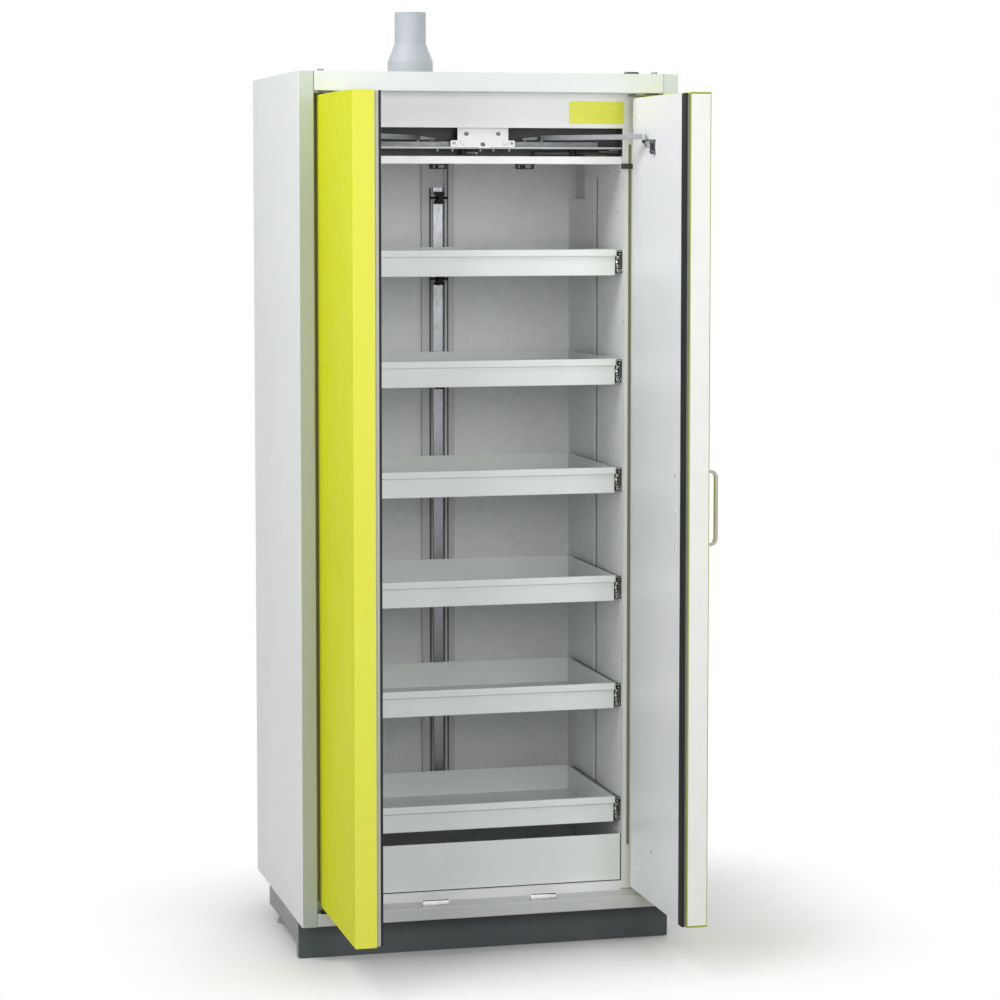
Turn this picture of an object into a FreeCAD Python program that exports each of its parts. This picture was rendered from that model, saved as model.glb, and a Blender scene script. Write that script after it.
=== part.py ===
import FreeCAD, Part
import math
import os

# Fire-rated storage cabinet with two coupled doors and six pull-out trays.
# Every piece is drawn with Y measured back from the front plane of the body.
# The last step moves all pieces so that the origin lies under the middle.

# Body shell, all sizes in millimetres
body_width = 864.0
body_depth = 600.0
body_top = 1975.0
plinth_height = 83.0
shell_sheet = 1.5
shell_bend = 1.0
front_band = 34.0
rear_return = 15.0
recess_depth = 62.0
fascia_height = 43.0
threshold_height = 28.5

# Door frame around the opening
jamb_width = 72.0
header_height = 77.0
sill_height = 19.5
frame_sheet = 1.5
frame_slot = 3.0

# Lining boards and insulation
side_board = 20.0
back_board = 18.0
ceiling_board = 18.0
rear_insulation = 49.0
ceiling_rise = 25.0
groove_width = 27.0
groove_depth = 7.0
groove_from_back = 250.0
groove_end_below_ceiling = 133.0
niche_depth = 140.0
niche_height = 184.0
niche_round = 9.0
board_hole_d = 5.0
board_hole_depth = 9.0
upper_row_start = 41.3
upper_row_pitch = 86.9
upper_row_drop = 123.0
lower_row_start = 60.2
lower_row_pitch = 200.8
lower_row_drop = 213.0
front_row_inset = 5.0
front_row_pitch = 388.0
front_row_drop = 461.5

# Doors
side_gap = 3.0
centre_gap = 6.0
leaf_gap_top = 9.0
leaf_gap_bottom = 14.5
leaf_pan = 46.5
leaf_sheet = 1.2
leaf_round = 1.2
leaf_return = 14.0
panel_thick = 9.0
panel_inset = 2.0
panel_setback = 4.5
seal_width = 20.0
seal_proud = 6.0
flush_seal_width = 25.0
flush_seal_thick = 4.5
strip_width = 42.7
strip_thick = 2.0
strip_border = 4.0
pivot_inset = 13.5
pivot_setback = 6.3
pivot_pin_d = 6.0
pivot_clearance = 0.05
pivot_reach = 18.0
bush_wall = 1.9
pivot_plate = 26.0
pivot_plate_thick = 3.0

# Bow handle on the outer face of the right leaf
handle_from_free_edge = 67.2
handle_above_middle = 5.5
handle_length = 166.0
handle_reach = 40.0
handle_bar_w = 12.0
handle_bar_t = 7.0
handle_bend = 17.0

# Coupling arms, guide rail and centre plate
arm_pivot_from_edge = 277.2
arm_pivot_standoff = 9.3
arm_post_offset = 55.0
arm_drop = 52.0
arm_height = 11.0
arm_width = 10.0
arm_pin_d = 6.0
arm_clearance = 0.05
roller_d = 14.0
roller_line = 103.0
roller_open_x = 143.0
rail_base_drop = 72.0
rail_base_thick = 4.0
rail_height = 12.0
rail_sheet = 1.5
rail_front = 80.0
rail_half_length = 270.0
rail_inner_width = 27.0
end_bar_inner = 100.0
end_bar_taper = 6.0
end_bar_gap = 1.5
plate_half_width = 58.3
plate_drop = 68.0
plate_ear = 16.0
plate_ear_height = 15.0
plate_face = 77.0
plate_sheet = 1.5
plate_notch_x0 = -16.0
plate_notch_x1 = 19.0
plate_notch_drop = 1.5
plate_notch_slope = 8.0
plate_hole_d = 7.7
plate_hole_x = 36.7
plate_hole_rise = 29.2
plate_low_hole_x = 1.5
plate_low_hole_rise = 5.5
plate_ring_x = 48.0
plate_ring_rise = 8.5
plate_ring_r = 4.2
plate_pin_x = 8.0
plate_pin_rise = 9.0
plate_pin_d = 6.4
plate_lug_depth = 20.5
release_x0 = -48.3
release_width = 33.1
release_setback = 2.0
damper_inner = 60.0
damper_end_gap = 10.0
damper_foot_length = 10.0
damper_head_length = 24.0
damper_block_width = 14.0
damper_line = 12.0
damper_tube_d = 11.0
damper_rod_d = 5.0
damper_stroke = 54.0
end_bar_reach = 8.0
end_bar_space = 4.0
bar_post_width = 8.0
bar_post_inset = 4.0
rail_pin_xs = [-103.0, -67.0, 26.8, 46.0]
rail_pin_d = 6.0
rail_pin_drop = 6.0
crossbar_drop = 105.6
crossbar_height = 17.8
crossbar_face = 80.0
crossbar_depth = 30.0
crossbar_gap = 0.8
catch_centre = 99.2
catch_width = 38.7
catch_drop = 11.5
catch_depth = 18.0

# Trays and their telescopic slides
tray_drops = [297.5, 545.7, 793.4, 1041.5, 1289.7, 1553.2]
tray_height = 59.4
tray_front = 80.0
tray_rear_gap = 60.0
tray_sheet = 1.2
tray_side_gap = 17.0
tray_bend = 2.0
lip_height = 15.5
lip_proud = 7.0
lip_overhang = 4.0
rail_low_below_lip = 52.0
slide_height = 48.0
slide_sheet = 1.5
slide_end_gap = 5.0
slide_setback = 0.4
slide_running_gap = 0.35
slide_lip = 4.0

# Sump under the trays
sump_face = 74.0
sump_height = 108.2
sump_lift = 0.8
sump_side_gap = 1.0
sump_sheet = 1.5
sump_rear_gap = 66.0

# Rear column that locks the trays one at a time
column_x0 = -40.5
column_x1 = 25.4
column_wing = 14.0
column_depth = 9.0
column_channel = 33.0
strip_face_width = 22.5
column_top_gap = 6.0
strip_top_gap = 157.0
bow_width = 19.0
bow_height = 28.6
bow_waist = 9.0
bow_depth = 26.0
bow_foot = 6.0
bow_neck = 6.0
bow_pin_d = 5.0
bow_pin_reach = 12.0
bow_drop = 77.0
bow_top_gap = 24.5
strip_x = -0.75
strip_setback = 1.0
column_web = 2.0
column_wing_step = 3.0
column_floor_gap = 0.3

# Base frame, feet and plinth panel
base_rail_low = 35.5
base_rail_width = 40.0
base_front = 75.0
base_depth = 355.0
base_sheet = 2.5
foot_d = 46.0
foot_height = 10.0
foot_stem_d = 12.0
foot_inset = 34.0
plinth_face = 55.0
plinth_sheet = 2.0
plinth_return = 20.0
plinth_side_gap = 1.0
plinth_round = 6.0

# Vent spigot and plugs on the roof
spigot_x = -116.0
spigot_collar_d = 105.0
spigot_collar_h = 34.4
spigot_pipe_d = 72.5
spigot_cone_h = 41.2
spigot_pipe_h = 70.8
spigot_wall = 2.5
plug_d = 14.0
plug_height = 5.0
plug_inset_y = 17.0
plug_stem_step = 3.0
plug_left_inset = 52.0
plug_mid_inset = 113.0
plug_right_inset = 51.0

# Seals, clips and striker tabs on the frame
gasket_offset = 8.5
gasket_width = 20.5
gasket_thick = 4.5
gasket_low_gap = 87.5
gasket_top_gap = 36.0
clip_drop = 116.0
clip_height = 12.0
clip_inner = 8.3
clip_outer = 22.3
clip_thick = 5.0
tab_centre = 125.0
tab_length = 60.0
tab_width = 7.0
tab_height = 5.0
tab_setback = 14.0

# Values that follow from the ones above
half_width = body_width / 2
recess_x = half_width - front_band
opening_x = recess_x - jamb_width
threshold_top = plinth_height + threshold_height
sill_top = threshold_top + sill_height
fascia_low = body_top - fascia_height
header_low = fascia_low - header_height
board_front = recess_depth + frame_sheet
ceiling_z = header_low + ceiling_rise
arm_low = ceiling_z - arm_drop
rail_base_low = ceiling_z - rail_base_drop
plate_low = ceiling_z - plate_drop
crossbar_low = ceiling_z - crossbar_drop
clip_low = ceiling_z - clip_drop
gasket_low = sill_top + gasket_low_gap
gasket_high = header_low - gasket_top_gap
tray_lip_tops = [ceiling_z - drop for drop in tray_drops]
board_x = opening_x + side_board
inner_shell_x = half_width - shell_sheet
inner_shell_back = body_depth - 2 * shell_sheet
lining_back = inner_shell_back - rear_insulation
interior_back = lining_back - back_board
inner_shell_top = body_top - shell_sheet
inner_shell_low = plinth_height + shell_sheet
hinge_x = recess_x - side_gap
leaf_width = hinge_x - centre_gap / 2
leaf_low = threshold_top + leaf_gap_bottom
leaf_high = fascia_low - leaf_gap_top
handle_centre_z = (leaf_low + leaf_high) / 2 + handle_above_middle
leaf_inner = leaf_pan + panel_thick
pivot_x = hinge_x - pivot_inset
pivot_y = pivot_setback
door_reach = leaf_width - pivot_inset - pivot_setback
y_shift = (body_depth - door_reach) / 2
spigot_y = body_depth / 2
tray_back = interior_back - tray_rear_gap
tray_depth = tray_back - tray_front
slide_length = tray_depth - slide_end_gap
sump_depth = interior_back - sump_rear_gap - sump_face
groove_start = interior_back - groove_from_back

os.makedirs("parts", exist_ok=True)


def vec(x, y, z):
    return FreeCAD.Vector(x, y, z)


def box(x0, x1, y0, y1, z0, z1):
    return Part.makeBox(x1 - x0, y1 - y0, z1 - z0, vec(x0, y0, z0))


def cyl(radius, x, y, z, length, axis=(0, 0, 1)):
    return Part.makeCylinder(radius, length, vec(x, y, z), vec(*axis))


def prism(points, direction):
    ring = [vec(*p) for p in points]
    ring.append(ring[0])
    return Part.Face(Part.makePolygon(ring)).extrude(vec(*direction))


def mirrored(shape):
    return shape.mirror(vec(0, 0, 0), vec(1, 0, 0))


def both_sides(shape):
    return [shape, mirrored(shape)]


def opened(shape):
    turned = shape.copy()
    turned.rotate(vec(pivot_x, pivot_y, 0), vec(0, 0, 1), 90)
    return turned


def emit(name, shapes):
    if not isinstance(shapes, list):
        shapes = [shapes]
    solids = []
    for shape in shapes:
        solids += shape.Solids
    whole = solids[0] if len(solids) == 1 else Part.makeCompound(solids)
    placed = whole.copy()
    placed.translate(vec(0, -y_shift, 0))
    placed.exportStep("parts/" + name + ".step")


def folded(path, sheet, bend, place, direction):
    # A bent sheet: the path is one face and the sheet lies on its left.
    count = len(path)
    heads = []
    for i in range(count - 1):
        dx = path[i + 1][0] - path[i][0]
        dy = path[i + 1][1] - path[i][1]
        size = math.hypot(dx, dy)
        heads.append((dx / size, dy / size))

    def side(offset):
        edges = []
        last = None
        for i in range(count):
            if i == 0 or i == count - 1:
                h = heads[0] if i == 0 else heads[-1]
                point = (path[i][0] - h[1] * offset, path[i][1] + h[0] * offset)
                if last is not None:
                    edges.append(("line", last, point))
                last = point
                continue
            a = heads[i - 1]
            b = heads[i]
            turn = a[0] * b[1] - a[1] * b[0]
            angle = math.atan2(turn, a[0] * b[0] + a[1] * b[1])
            left = 1.0 if angle > 0 else -1.0
            if left > 0:
                centre_off = bend + sheet
            else:
                centre_off = -bend
            radius = abs(centre_off - offset)
            reach = centre_off * math.tan(abs(angle) / 2) * left
            cx = path[i][0] - a[0] * reach - a[1] * centre_off
            cy = path[i][1] - a[1] * reach + a[0] * centre_off
            start = (cx + a[1] * radius * left, cy - a[0] * radius * left)
            end = (cx + b[1] * radius * left, cy - b[0] * radius * left)
            mx = a[1] + b[1]
            my = -a[0] - b[0]
            size = math.hypot(mx, my)
            mid = (cx + mx / size * radius * left, cy + my / size * radius * left)
            edges.append(("line", last, start))
            edges.append(("arc", start, mid, end))
            last = end
        return edges

    def edge(item):
        spots = [place(*p) for p in item[1:]]
        if item[0] == "line":
            return Part.LineSegment(spots[0], spots[1]).toShape()
        return Part.Arc(spots[0], spots[1], spots[2]).toShape()

    near = side(0.0)
    far = side(sheet)
    edges = [edge(item) for item in near + far]
    for end_a, end_b in ((near[0][1], far[0][1]), (near[-1][-1], far[-1][-1])):
        edges.append(edge(("line", end_a, end_b)))
    ordered = Part.sortEdges(edges)[0]
    return Part.Face(Part.Wire(ordered)).extrude(vec(*direction))


def plan(z):
    return lambda u, v: vec(u, v, z)


def section_yz(x):
    return lambda u, v: vec(x, u, v)


def round_edges(shape, radius, test):
    picked = [e for e in shape.Edges if test(e)]
    return shape.makeFillet(radius, picked)


def is_vertical(edge):
    a, b = edge.Vertexes[0].Point, edge.Vertexes[-1].Point
    return abs(a.x - b.x) < 1e-6 and abs(a.y - b.y) < 1e-6


# Outer shell
side_path = [
    (recess_x, recess_depth),
    (recess_x, 0),
    (half_width, 0),
    (half_width, body_depth),
    (half_width - rear_return, body_depth),
]
side_rise = (0, 0, body_top - plinth_height)
side_panel = folded(side_path, shell_sheet, shell_bend, plan(plinth_height), side_rise)
roof_seat = box(recess_x - 1, inner_shell_x, shell_sheet, recess_depth + 1, inner_shell_top, body_top + 1)
side_panel = side_panel.cut(roof_seat)
emit("side_panel_right", side_panel)
emit("side_panel_left", mirrored(side_panel))

spigot_hole_r = spigot_collar_d / 2 - spigot_wall - 4.0
roof_hole = cyl(spigot_hole_r, spigot_x, spigot_y, ceiling_z - 1, body_top - ceiling_z + 2)
plug_stem_r = plug_d / 2 - plug_stem_step
plug_xs = [
    -half_width + plug_left_inset,
    half_width - plug_mid_inset,
    half_width - plug_right_inset,
]
roof = box(-inner_shell_x, inner_shell_x, shell_sheet, inner_shell_back, inner_shell_top, body_top)
roof = round_edges(roof, shell_bend + 0.5, lambda e: is_vertical(e) and e.BoundBox.YMin < shell_sheet + 0.1)
roof = roof.cut(roof_hole)
for x in plug_xs:
    roof = roof.cut(cyl(plug_stem_r, x, plug_inset_y, inner_shell_top - 1, shell_sheet + 2))
emit("top_panel", roof)

fascia_path = [
    (0, body_top),
    (0, fascia_low),
    (recess_depth, fascia_low),
]
fascia = folded(fascia_path, shell_sheet, shell_bend, section_yz(-recess_x), (2 * recess_x, 0, 0))
fascia_hole = cyl(pivot_pin_d / 2, pivot_x, pivot_y, fascia_low - 1, shell_sheet + 2)
fascia = fascia.cut(Part.makeCompound(both_sides(fascia_hole)))
emit("top_fascia", fascia)

back_x = inner_shell_x - shell_bend
emit("back_panel", box(-back_x, back_x, inner_shell_back, inner_shell_back + shell_sheet,
                       plinth_height, inner_shell_top))

# The threshold is one sheet: ledge, front strip and bottom.
floor_path = [
    (recess_depth, threshold_top),
    (0, threshold_top),
    (0, plinth_height),
    (inner_shell_back, plinth_height),
]
floor = folded(floor_path, shell_sheet, shell_bend, section_yz(-recess_x), (2 * recess_x, 0, 0))
floor_hole = cyl(pivot_pin_d / 2, pivot_x, pivot_y, threshold_top - shell_sheet - 1, shell_sheet + 2)
floor = floor.cut(Part.makeCompound(both_sides(floor_hole)))
emit("floor_panel", floor)

# Door frame ring, flush with the lining
frame = box(-recess_x, recess_x, recess_depth, board_front, threshold_top, fascia_low)
frame = frame.cut(box(-opening_x, opening_x, recess_depth - 1, board_front + 1, sill_top, header_low))
foot_slot = box(opening_x, opening_x + 30.0, recess_depth - 1, board_front + 1,
                threshold_top + 1.0, threshold_top + 1.0 + frame_slot)
frame = frame.cut(Part.makeCompound(both_sides(foot_slot)))
emit("door_frame", frame)

# Insulation boards between shell and lining
ins_side = box(board_x, inner_shell_x, board_front, inner_shell_back, inner_shell_low, inner_shell_top)
ins_lip = box(recess_x + shell_sheet, inner_shell_x, shell_sheet, board_front, inner_shell_low, inner_shell_top)
ins_side = ins_side.fuse(ins_lip).removeSplitter()
ins_bend = shell_bend + 0.5
ins_side = round_edges(ins_side, ins_bend, lambda e: is_vertical(e) and e.BoundBox.YMin < shell_sheet + 0.1)
ins_rear = box(-board_x, board_x, lining_back, inner_shell_back, inner_shell_low, inner_shell_top)
ins_roof = box(-board_x, board_x, board_front, lining_back, ceiling_z + ceiling_board, inner_shell_top)
duct_bore = cyl(spigot_hole_r, spigot_x, spigot_y, ceiling_z, body_top - ceiling_z)
ins_roof = ins_roof.cut(duct_bore)
ins_floor = box(-board_x, board_x, board_front, lining_back, inner_shell_low, threshold_top)
emit("insulation_boards", both_sides(ins_side) + [ins_rear, ins_roof, ins_floor])

# Lining boards with groove, niche and fixing holes
lining = box(opening_x, board_x, board_front, interior_back, sill_top, ceiling_z)
groove = box(opening_x - 1, opening_x + groove_depth, groove_start, groove_start + groove_width,
             sill_top + sump_height, ceiling_z - groove_end_below_ceiling)
niche = box(opening_x - 1, board_x + 1, interior_back - niche_depth, interior_back + 1,
            ceiling_z - niche_height, ceiling_z + 1)
lining = lining.cut(groove).cut(niche)
niche_floor = ceiling_z - niche_height


def on_niche_corner(edge):
    b = edge.BoundBox
    return b.YLength < 1e-6 and b.ZLength < 1e-6 and abs(b.YMin - interior_back) < 1e-6 \
        and abs(b.ZMin - niche_floor) < 1e-6


lining = round_edges(lining, niche_round, on_niche_corner)
upper_row = ceiling_z - upper_row_drop
lower_row = ceiling_z - lower_row_drop
front_row = ceiling_z - front_row_drop
hole_spots = [(board_front + upper_row_start + upper_row_pitch * i, upper_row) for i in range(4)]
hole_spots += [(board_front + lower_row_start + lower_row_pitch * i, lower_row) for i in range(2)]
hole_spots += [(board_front + front_row_inset, front_row - front_row_pitch * i) for i in range(3)]
bores = [cyl(board_hole_d / 2, opening_x - 1, y, z, board_hole_depth + 1, (1, 0, 0)) for y, z in hole_spots]
lining = lining.cut(Part.makeCompound(bores))
emit("liner_right", lining)
emit("liner_left", mirrored(lining))
emit("liner_back", box(-board_x, board_x, interior_back, lining_back, sill_top, ceiling_z))
ceiling = box(-board_x, board_x, board_front, lining_back, ceiling_z, ceiling_z + ceiling_board)
emit("liner_ceiling", ceiling.cut(roof_hole))
emit("liner_floor", box(-board_x, board_x, board_front, lining_back, threshold_top, sill_top))

# Rear column, its strip and the tray interlocks
column_low = sill_top + column_floor_gap
column_high = ceiling_z - column_top_gap
column_face = interior_back - column_depth
channel_x0 = strip_x - column_channel / 2
channel_x1 = strip_x + column_channel / 2
column = box(column_x0, column_x1 + column_wing, column_face, interior_back, column_low, column_high)
column = column.cut(box(column_x1, column_x1 + column_wing + 1, column_face - 1, column_face + column_wing_step,
                        column_low - 1, column_high + 1))
column = column.cut(box(channel_x0, channel_x1, column_face - 1, interior_back - column_web,
                        column_low - 1, column_high + 1))
emit("rear_column", column)
strip_high = ceiling_z - strip_top_gap
strip_face = column_face + strip_setback
strip = box(strip_x - strip_face_width / 2, strip_x + strip_face_width / 2, strip_face,
            interior_back - column_web, column_low, strip_high)
emit("rear_strip", strip)


def bow_tie(z_mid, y_back):
    hw = bow_width / 2
    hh = bow_height / 2
    w = bow_waist / 2
    foot = hh - bow_foot
    neck = bow_neck / 2
    ring = [
        (-hw, -hh), (hw, -hh), (hw, -foot), (w, -neck), (w, neck), (hw, foot),
        (hw, hh), (-hw, hh), (-hw, foot), (-w, neck), (-w, -neck), (-hw, -foot),
    ]
    spots = [(strip_x + x, y_back - bow_depth, z_mid + z) for x, z in ring]
    body = prism(spots, (0, bow_depth, 0))
    pin_half = hw + bow_pin_reach
    pin = cyl(bow_pin_d / 2, strip_x - pin_half, y_back - bow_depth / 2, z_mid, 2 * pin_half, (1, 0, 0))
    return body.fuse(pin)


interlocks = []
for z in [strip_high - bow_top_gap] + [lip - bow_drop for lip in tray_lip_tops[:-1]]:
    interlocks.append(bow_tie(z, strip_face))
emit("tray_interlocks", interlocks)

# Header: crossbar, catches, guide rail, centre plate, fittings
bar_x = opening_x - crossbar_gap
bar_path = [
    (crossbar_face + crossbar_depth, crossbar_low + crossbar_height),
    (crossbar_face, crossbar_low + crossbar_height),
    (crossbar_face, crossbar_low),
    (crossbar_face + crossbar_depth, crossbar_low),
]
crossbar = folded(bar_path, rail_sheet, 0.8, section_yz(-bar_x), (2 * bar_x, 0, 0))
bar_end = box(bar_x - 1.5, opening_x, crossbar_face + 6.0, crossbar_face + crossbar_depth,
              crossbar_low + rail_sheet, crossbar_low + crossbar_height - rail_sheet)
bar_end = bar_end.cut(crossbar)
crossbar = crossbar.fuse(both_sides(bar_end)).removeSplitter()
emit("header_crossbar", crossbar)

catches = []
for sign in (-1, 1):
    mid = sign * catch_centre
    clip = box(mid - catch_width / 2 - 3.0, mid + catch_width / 2 + 3.0, crossbar_face,
               crossbar_face + catch_depth, crossbar_low - 2.0, crossbar_low)
    block = box(mid - catch_width / 2, mid + catch_width / 2, crossbar_face, crossbar_face + catch_depth,
                crossbar_low - catch_drop, crossbar_low - 2.0)
    block = round_edges(block, 3.0, lambda e: abs(e.BoundBox.YLength - catch_depth) < 1e-6
                        and e.BoundBox.ZMax < crossbar_low - catch_drop + 0.1)
    slot = box(mid - 10.0, mid + 10.0, crossbar_face - 1, crossbar_face + 8.0,
               crossbar_low - catch_drop + 3.0, crossbar_low - 4.5)
    catches.append(clip.fuse(block).removeSplitter().cut(slot))
emit("catch_latches", catches)

rail_base_top = rail_base_low + rail_base_thick
rail_top = rail_base_top + rail_height
channel_front = roller_line - rail_inner_width / 2
rail_rear = roller_line + rail_inner_width / 2 + rail_sheet
rail_base = box(-opening_x, opening_x, rail_front, rail_rear, rail_base_low, rail_base_top)
channel = box(-rail_half_length, rail_half_length, channel_front - rail_sheet, rail_rear, rail_base_top, rail_top)
channel = channel.cut(box(-rail_half_length - 1, rail_half_length + 1, channel_front,
                          rail_rear - rail_sheet, rail_base_top, rail_top + 1))
emit("arm_rail", rail_base.fuse(channel).removeSplitter())

plate_ring = [
    (-plate_half_width, ceiling_z),
    (-plate_half_width, plate_low),
    (plate_notch_x0, plate_low),
    (plate_notch_x0 + plate_notch_slope, plate_low - plate_notch_drop),
    (plate_notch_x1 - plate_notch_slope, plate_low - plate_notch_drop),
    (plate_notch_x1, plate_low),
    (plate_half_width, plate_low),
    (plate_half_width, ceiling_z),
]
plate = prism([(x, plate_face, z) for x, z in plate_ring], (0, plate_sheet, 0))
plate_holes = [(sign * plate_hole_x, plate_hole_rise) for sign in (-1, 1)]
plate_holes.append((plate_low_hole_x, plate_low_hole_rise))
for x, rise in plate_holes:
    plate = plate.cut(cyl(plate_hole_d / 2, x, plate_face - 1, plate_low + rise, plate_sheet + 2, (0, 1, 0)))
for sign in (-1, 1):
    ring = Part.makeTorus(plate_ring_r, 0.9, vec(sign * plate_ring_x, plate_face, plate_low + plate_ring_rise),
                          vec(0, 1, 0))
    plate = plate.cut(ring)
plate_back = plate_face + plate_sheet
plate_lug = box(-plate_half_width, plate_half_width, plate_back, plate_back + plate_lug_depth,
                ceiling_z - plate_sheet, ceiling_z)
ears = []
for sign in (-1, 1):
    x0, x1 = sorted((sign * (plate_half_width - 4.0), sign * (plate_half_width + plate_ear)))
    ear = box(x0, x1, plate_face + plate_sheet, rail_front, plate_low, plate_low + plate_ear_height)
    ear = round_edges(ear, 4.0, lambda e: e.BoundBox.XLength < 1e-6 and e.BoundBox.ZLength < 1e-6
                      and abs(abs(e.BoundBox.XMin) - plate_half_width - plate_ear) < 1e-6)
    pin = cyl(plate_pin_d / 2, sign * (plate_half_width + plate_pin_x), plate_face - 2.0,
              plate_low + plate_pin_rise, plate_sheet + 2.0, (0, 1, 0))
    ears += [ear, pin]
emit("centre_plate", plate.fuse([plate_lug] + ears).removeSplitter())

# Release block, pins and damper under the guide rail
gap_low = crossbar_low + crossbar_height
gap_mid = (gap_low + rail_base_low) / 2
block = box(release_x0, release_x0 + release_width, rail_front + release_setback, rail_rear - 2 * release_setback,
            gap_low, rail_base_low)
block = round_edges(block, release_setback, is_vertical)
damper_y = rail_front + damper_line
damper_y0 = damper_y - damper_block_width / 2
damper_y1 = damper_y + damper_block_width / 2
tube_x = damper_inner + damper_foot_length
head_x1 = opening_x - damper_end_gap
head_x0 = head_x1 - damper_head_length
rod_x = head_x0 - damper_stroke
damper = cyl(damper_tube_d / 2, tube_x, damper_y, gap_mid, rod_x - tube_x, (1, 0, 0))
damper_rod = cyl(damper_rod_d / 2, rod_x, damper_y, gap_mid, damper_stroke, (1, 0, 0))
damper_foot = box(damper_inner, tube_x, damper_y0, damper_y1, gap_low, rail_base_low)
damper_head = box(head_x0, head_x1, damper_y0, damper_y1, gap_low, rail_base_low)
damper = damper.fuse([damper_rod, damper_foot, damper_head])
fittings = [block, damper]
# Fixed bars behind the rollers, tapering towards the middle
bar_outer = roller_open_x + end_bar_reach
bar_low = arm_low
bar_high = arm_low + arm_height
bar_face = roller_line + arm_width / 2 + end_bar_space + end_bar_gap
end_bar = prism([
    (end_bar_inner, bar_face, bar_low),
    (bar_outer, bar_face, bar_low),
    (bar_outer, bar_face, bar_high),
    (end_bar_inner, bar_face, bar_high - end_bar_taper),
], (0, rail_rear - bar_face, 0))
bar_posts = [box(x, x + bar_post_width, rail_rear - rail_sheet, rail_rear, rail_top, bar_low)
             for x in (end_bar_inner + bar_post_inset, bar_outer - bar_post_inset - bar_post_width)]
fittings += both_sides(end_bar.fuse(bar_posts).removeSplitter())
for x in rail_pin_xs:
    fittings.append(cyl(rail_pin_d / 2, x, rail_front + rail_pin_d, rail_base_low - rail_pin_drop, rail_pin_drop))
emit("header_fittings", fittings)

# Frame seals, corner clips and striker tabs
gasket = box(opening_x + gasket_offset, opening_x + gasket_offset + gasket_width,
             recess_depth - gasket_thick, recess_depth, gasket_low, gasket_high)
clip_window = box(opening_x - clip_inner - 0.5, opening_x + clip_outer + 0.5, recess_depth - clip_thick - 1,
                  recess_depth + 1, clip_low - 0.5, clip_low + clip_height + 0.5)
gasket = gasket.cut(clip_window)
emit("frame_gaskets", both_sides(gasket))
clip = box(opening_x - clip_inner, opening_x + clip_outer, recess_depth - clip_thick, recess_depth,
           clip_low, clip_low + clip_height)
clip = clip.cut(prism([
    (opening_x + clip_outer - 6.0, recess_depth - clip_thick - 1, clip_low + clip_height + 1),
    (opening_x + clip_outer + 1.0, recess_depth - clip_thick - 1, clip_low + clip_height + 1),
    (opening_x + clip_outer + 1.0, recess_depth - clip_thick - 1, clip_low + clip_height - 4.0),
], (0, clip_thick + 2, 0)))
clip = round_edges(clip, 1.5, lambda e: e.BoundBox.YLength > clip_thick - 0.1
                   and abs(e.BoundBox.XMin - opening_x + clip_inner) < 0.1)
emit("corner_clips", both_sides(clip))
tab_path = [
    (tab_setback + tab_width, threshold_top),
    (tab_setback + tab_width, threshold_top + tab_height),
    (tab_setback, threshold_top + tab_height),
]
tab = folded(tab_path, 1.2, 0.8, section_yz(tab_centre - tab_length / 2), (tab_length, 0, 0))
emit("striker_tabs", both_sides(tab))

# Vent spigot as one turned wall
r_collar = spigot_collar_d / 2
r_pipe = spigot_pipe_d / 2
z_collar = body_top + spigot_collar_h
z_cone = z_collar + spigot_cone_h
z_pipe = z_cone + spigot_pipe_h
spigot_ring = [
    (r_collar - spigot_wall, body_top),
    (r_collar, body_top),
    (r_collar, z_collar),
    (r_pipe, z_cone),
    (r_pipe, z_pipe),
    (r_pipe - spigot_wall, z_pipe),
    (r_pipe - spigot_wall, z_cone),
    (r_collar - spigot_wall, z_collar),
]
spots = [vec(r, 0, z) for r, z in spigot_ring]
spots.append(spots[0])
spigot = Part.Face(Part.makePolygon(spots)).revolve(vec(0, 0, 0), vec(0, 0, 1), 360)
spigot = Part.Solid(spigot) if spigot.ShapeType == "Shell" else spigot
spigot.translate(vec(spigot_x, spigot_y, 0))
emit("vent_spigot", spigot)

plugs = []
for x in plug_xs:
    head = cyl(plug_d / 2, x, plug_inset_y, body_top, plug_height)
    head = round_edges(head, 1.5, lambda e: e.BoundBox.ZMin > body_top + plug_height - 0.1)
    stem = cyl(plug_stem_r, x, plug_inset_y, inner_shell_top, shell_sheet)
    plugs.append(head.fuse(stem))
emit("roof_plugs", plugs)

# Base frame of folded rails on four levelling feet
base_back = base_front + base_depth
rail_path = [
    (half_width - base_rail_width, plinth_height),
    (half_width, plinth_height),
    (half_width, base_rail_low),
    (half_width - base_rail_width, base_rail_low),
]
side_rail = folded(rail_path[::-1], base_sheet, 2.0, lambda u, v: vec(u, base_front, v), (0, base_depth, 0))
cross_x = half_width - base_rail_width
cross_path = [
    (base_front + base_rail_width, plinth_height),
    (base_front, plinth_height),
    (base_front, base_rail_low),
    (base_front + base_rail_width, base_rail_low),
]
front_rail = folded(cross_path, base_sheet, 2.0, section_yz(-cross_x), (2 * cross_x, 0, 0))
rear_rail = front_rail.mirror(vec(0, (base_front + base_back) / 2, 0), vec(0, 1, 0))
emit("base_frame", both_sides(side_rail) + [front_rail, rear_rail])

feet = []
for y in (base_front + foot_inset, base_back - foot_inset):
    x = half_width - foot_inset
    disc = Part.makeCone(foot_d / 2, foot_d / 2 - 5.0, foot_height, vec(x, y, 0))
    stem = cyl(foot_stem_d / 2, x, y, foot_height, base_rail_low - foot_height)
    nut = Part.makeCylinder(foot_stem_d / 2 + 4.0, 7.0, vec(x, y, base_rail_low - 7.0))
    feet += both_sides(disc.fuse([stem, nut]))
emit("levelling_feet", feet)

plinth_x = half_width - plinth_side_gap
plinth_path = [
    (-plinth_x, plinth_face + plinth_return),
    (-plinth_x, plinth_face),
    (plinth_x, plinth_face),
    (plinth_x, plinth_face + plinth_return),
]
plinth = folded(plinth_path, plinth_sheet, 1.5, plan(0), (0, 0, plinth_height))


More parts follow.
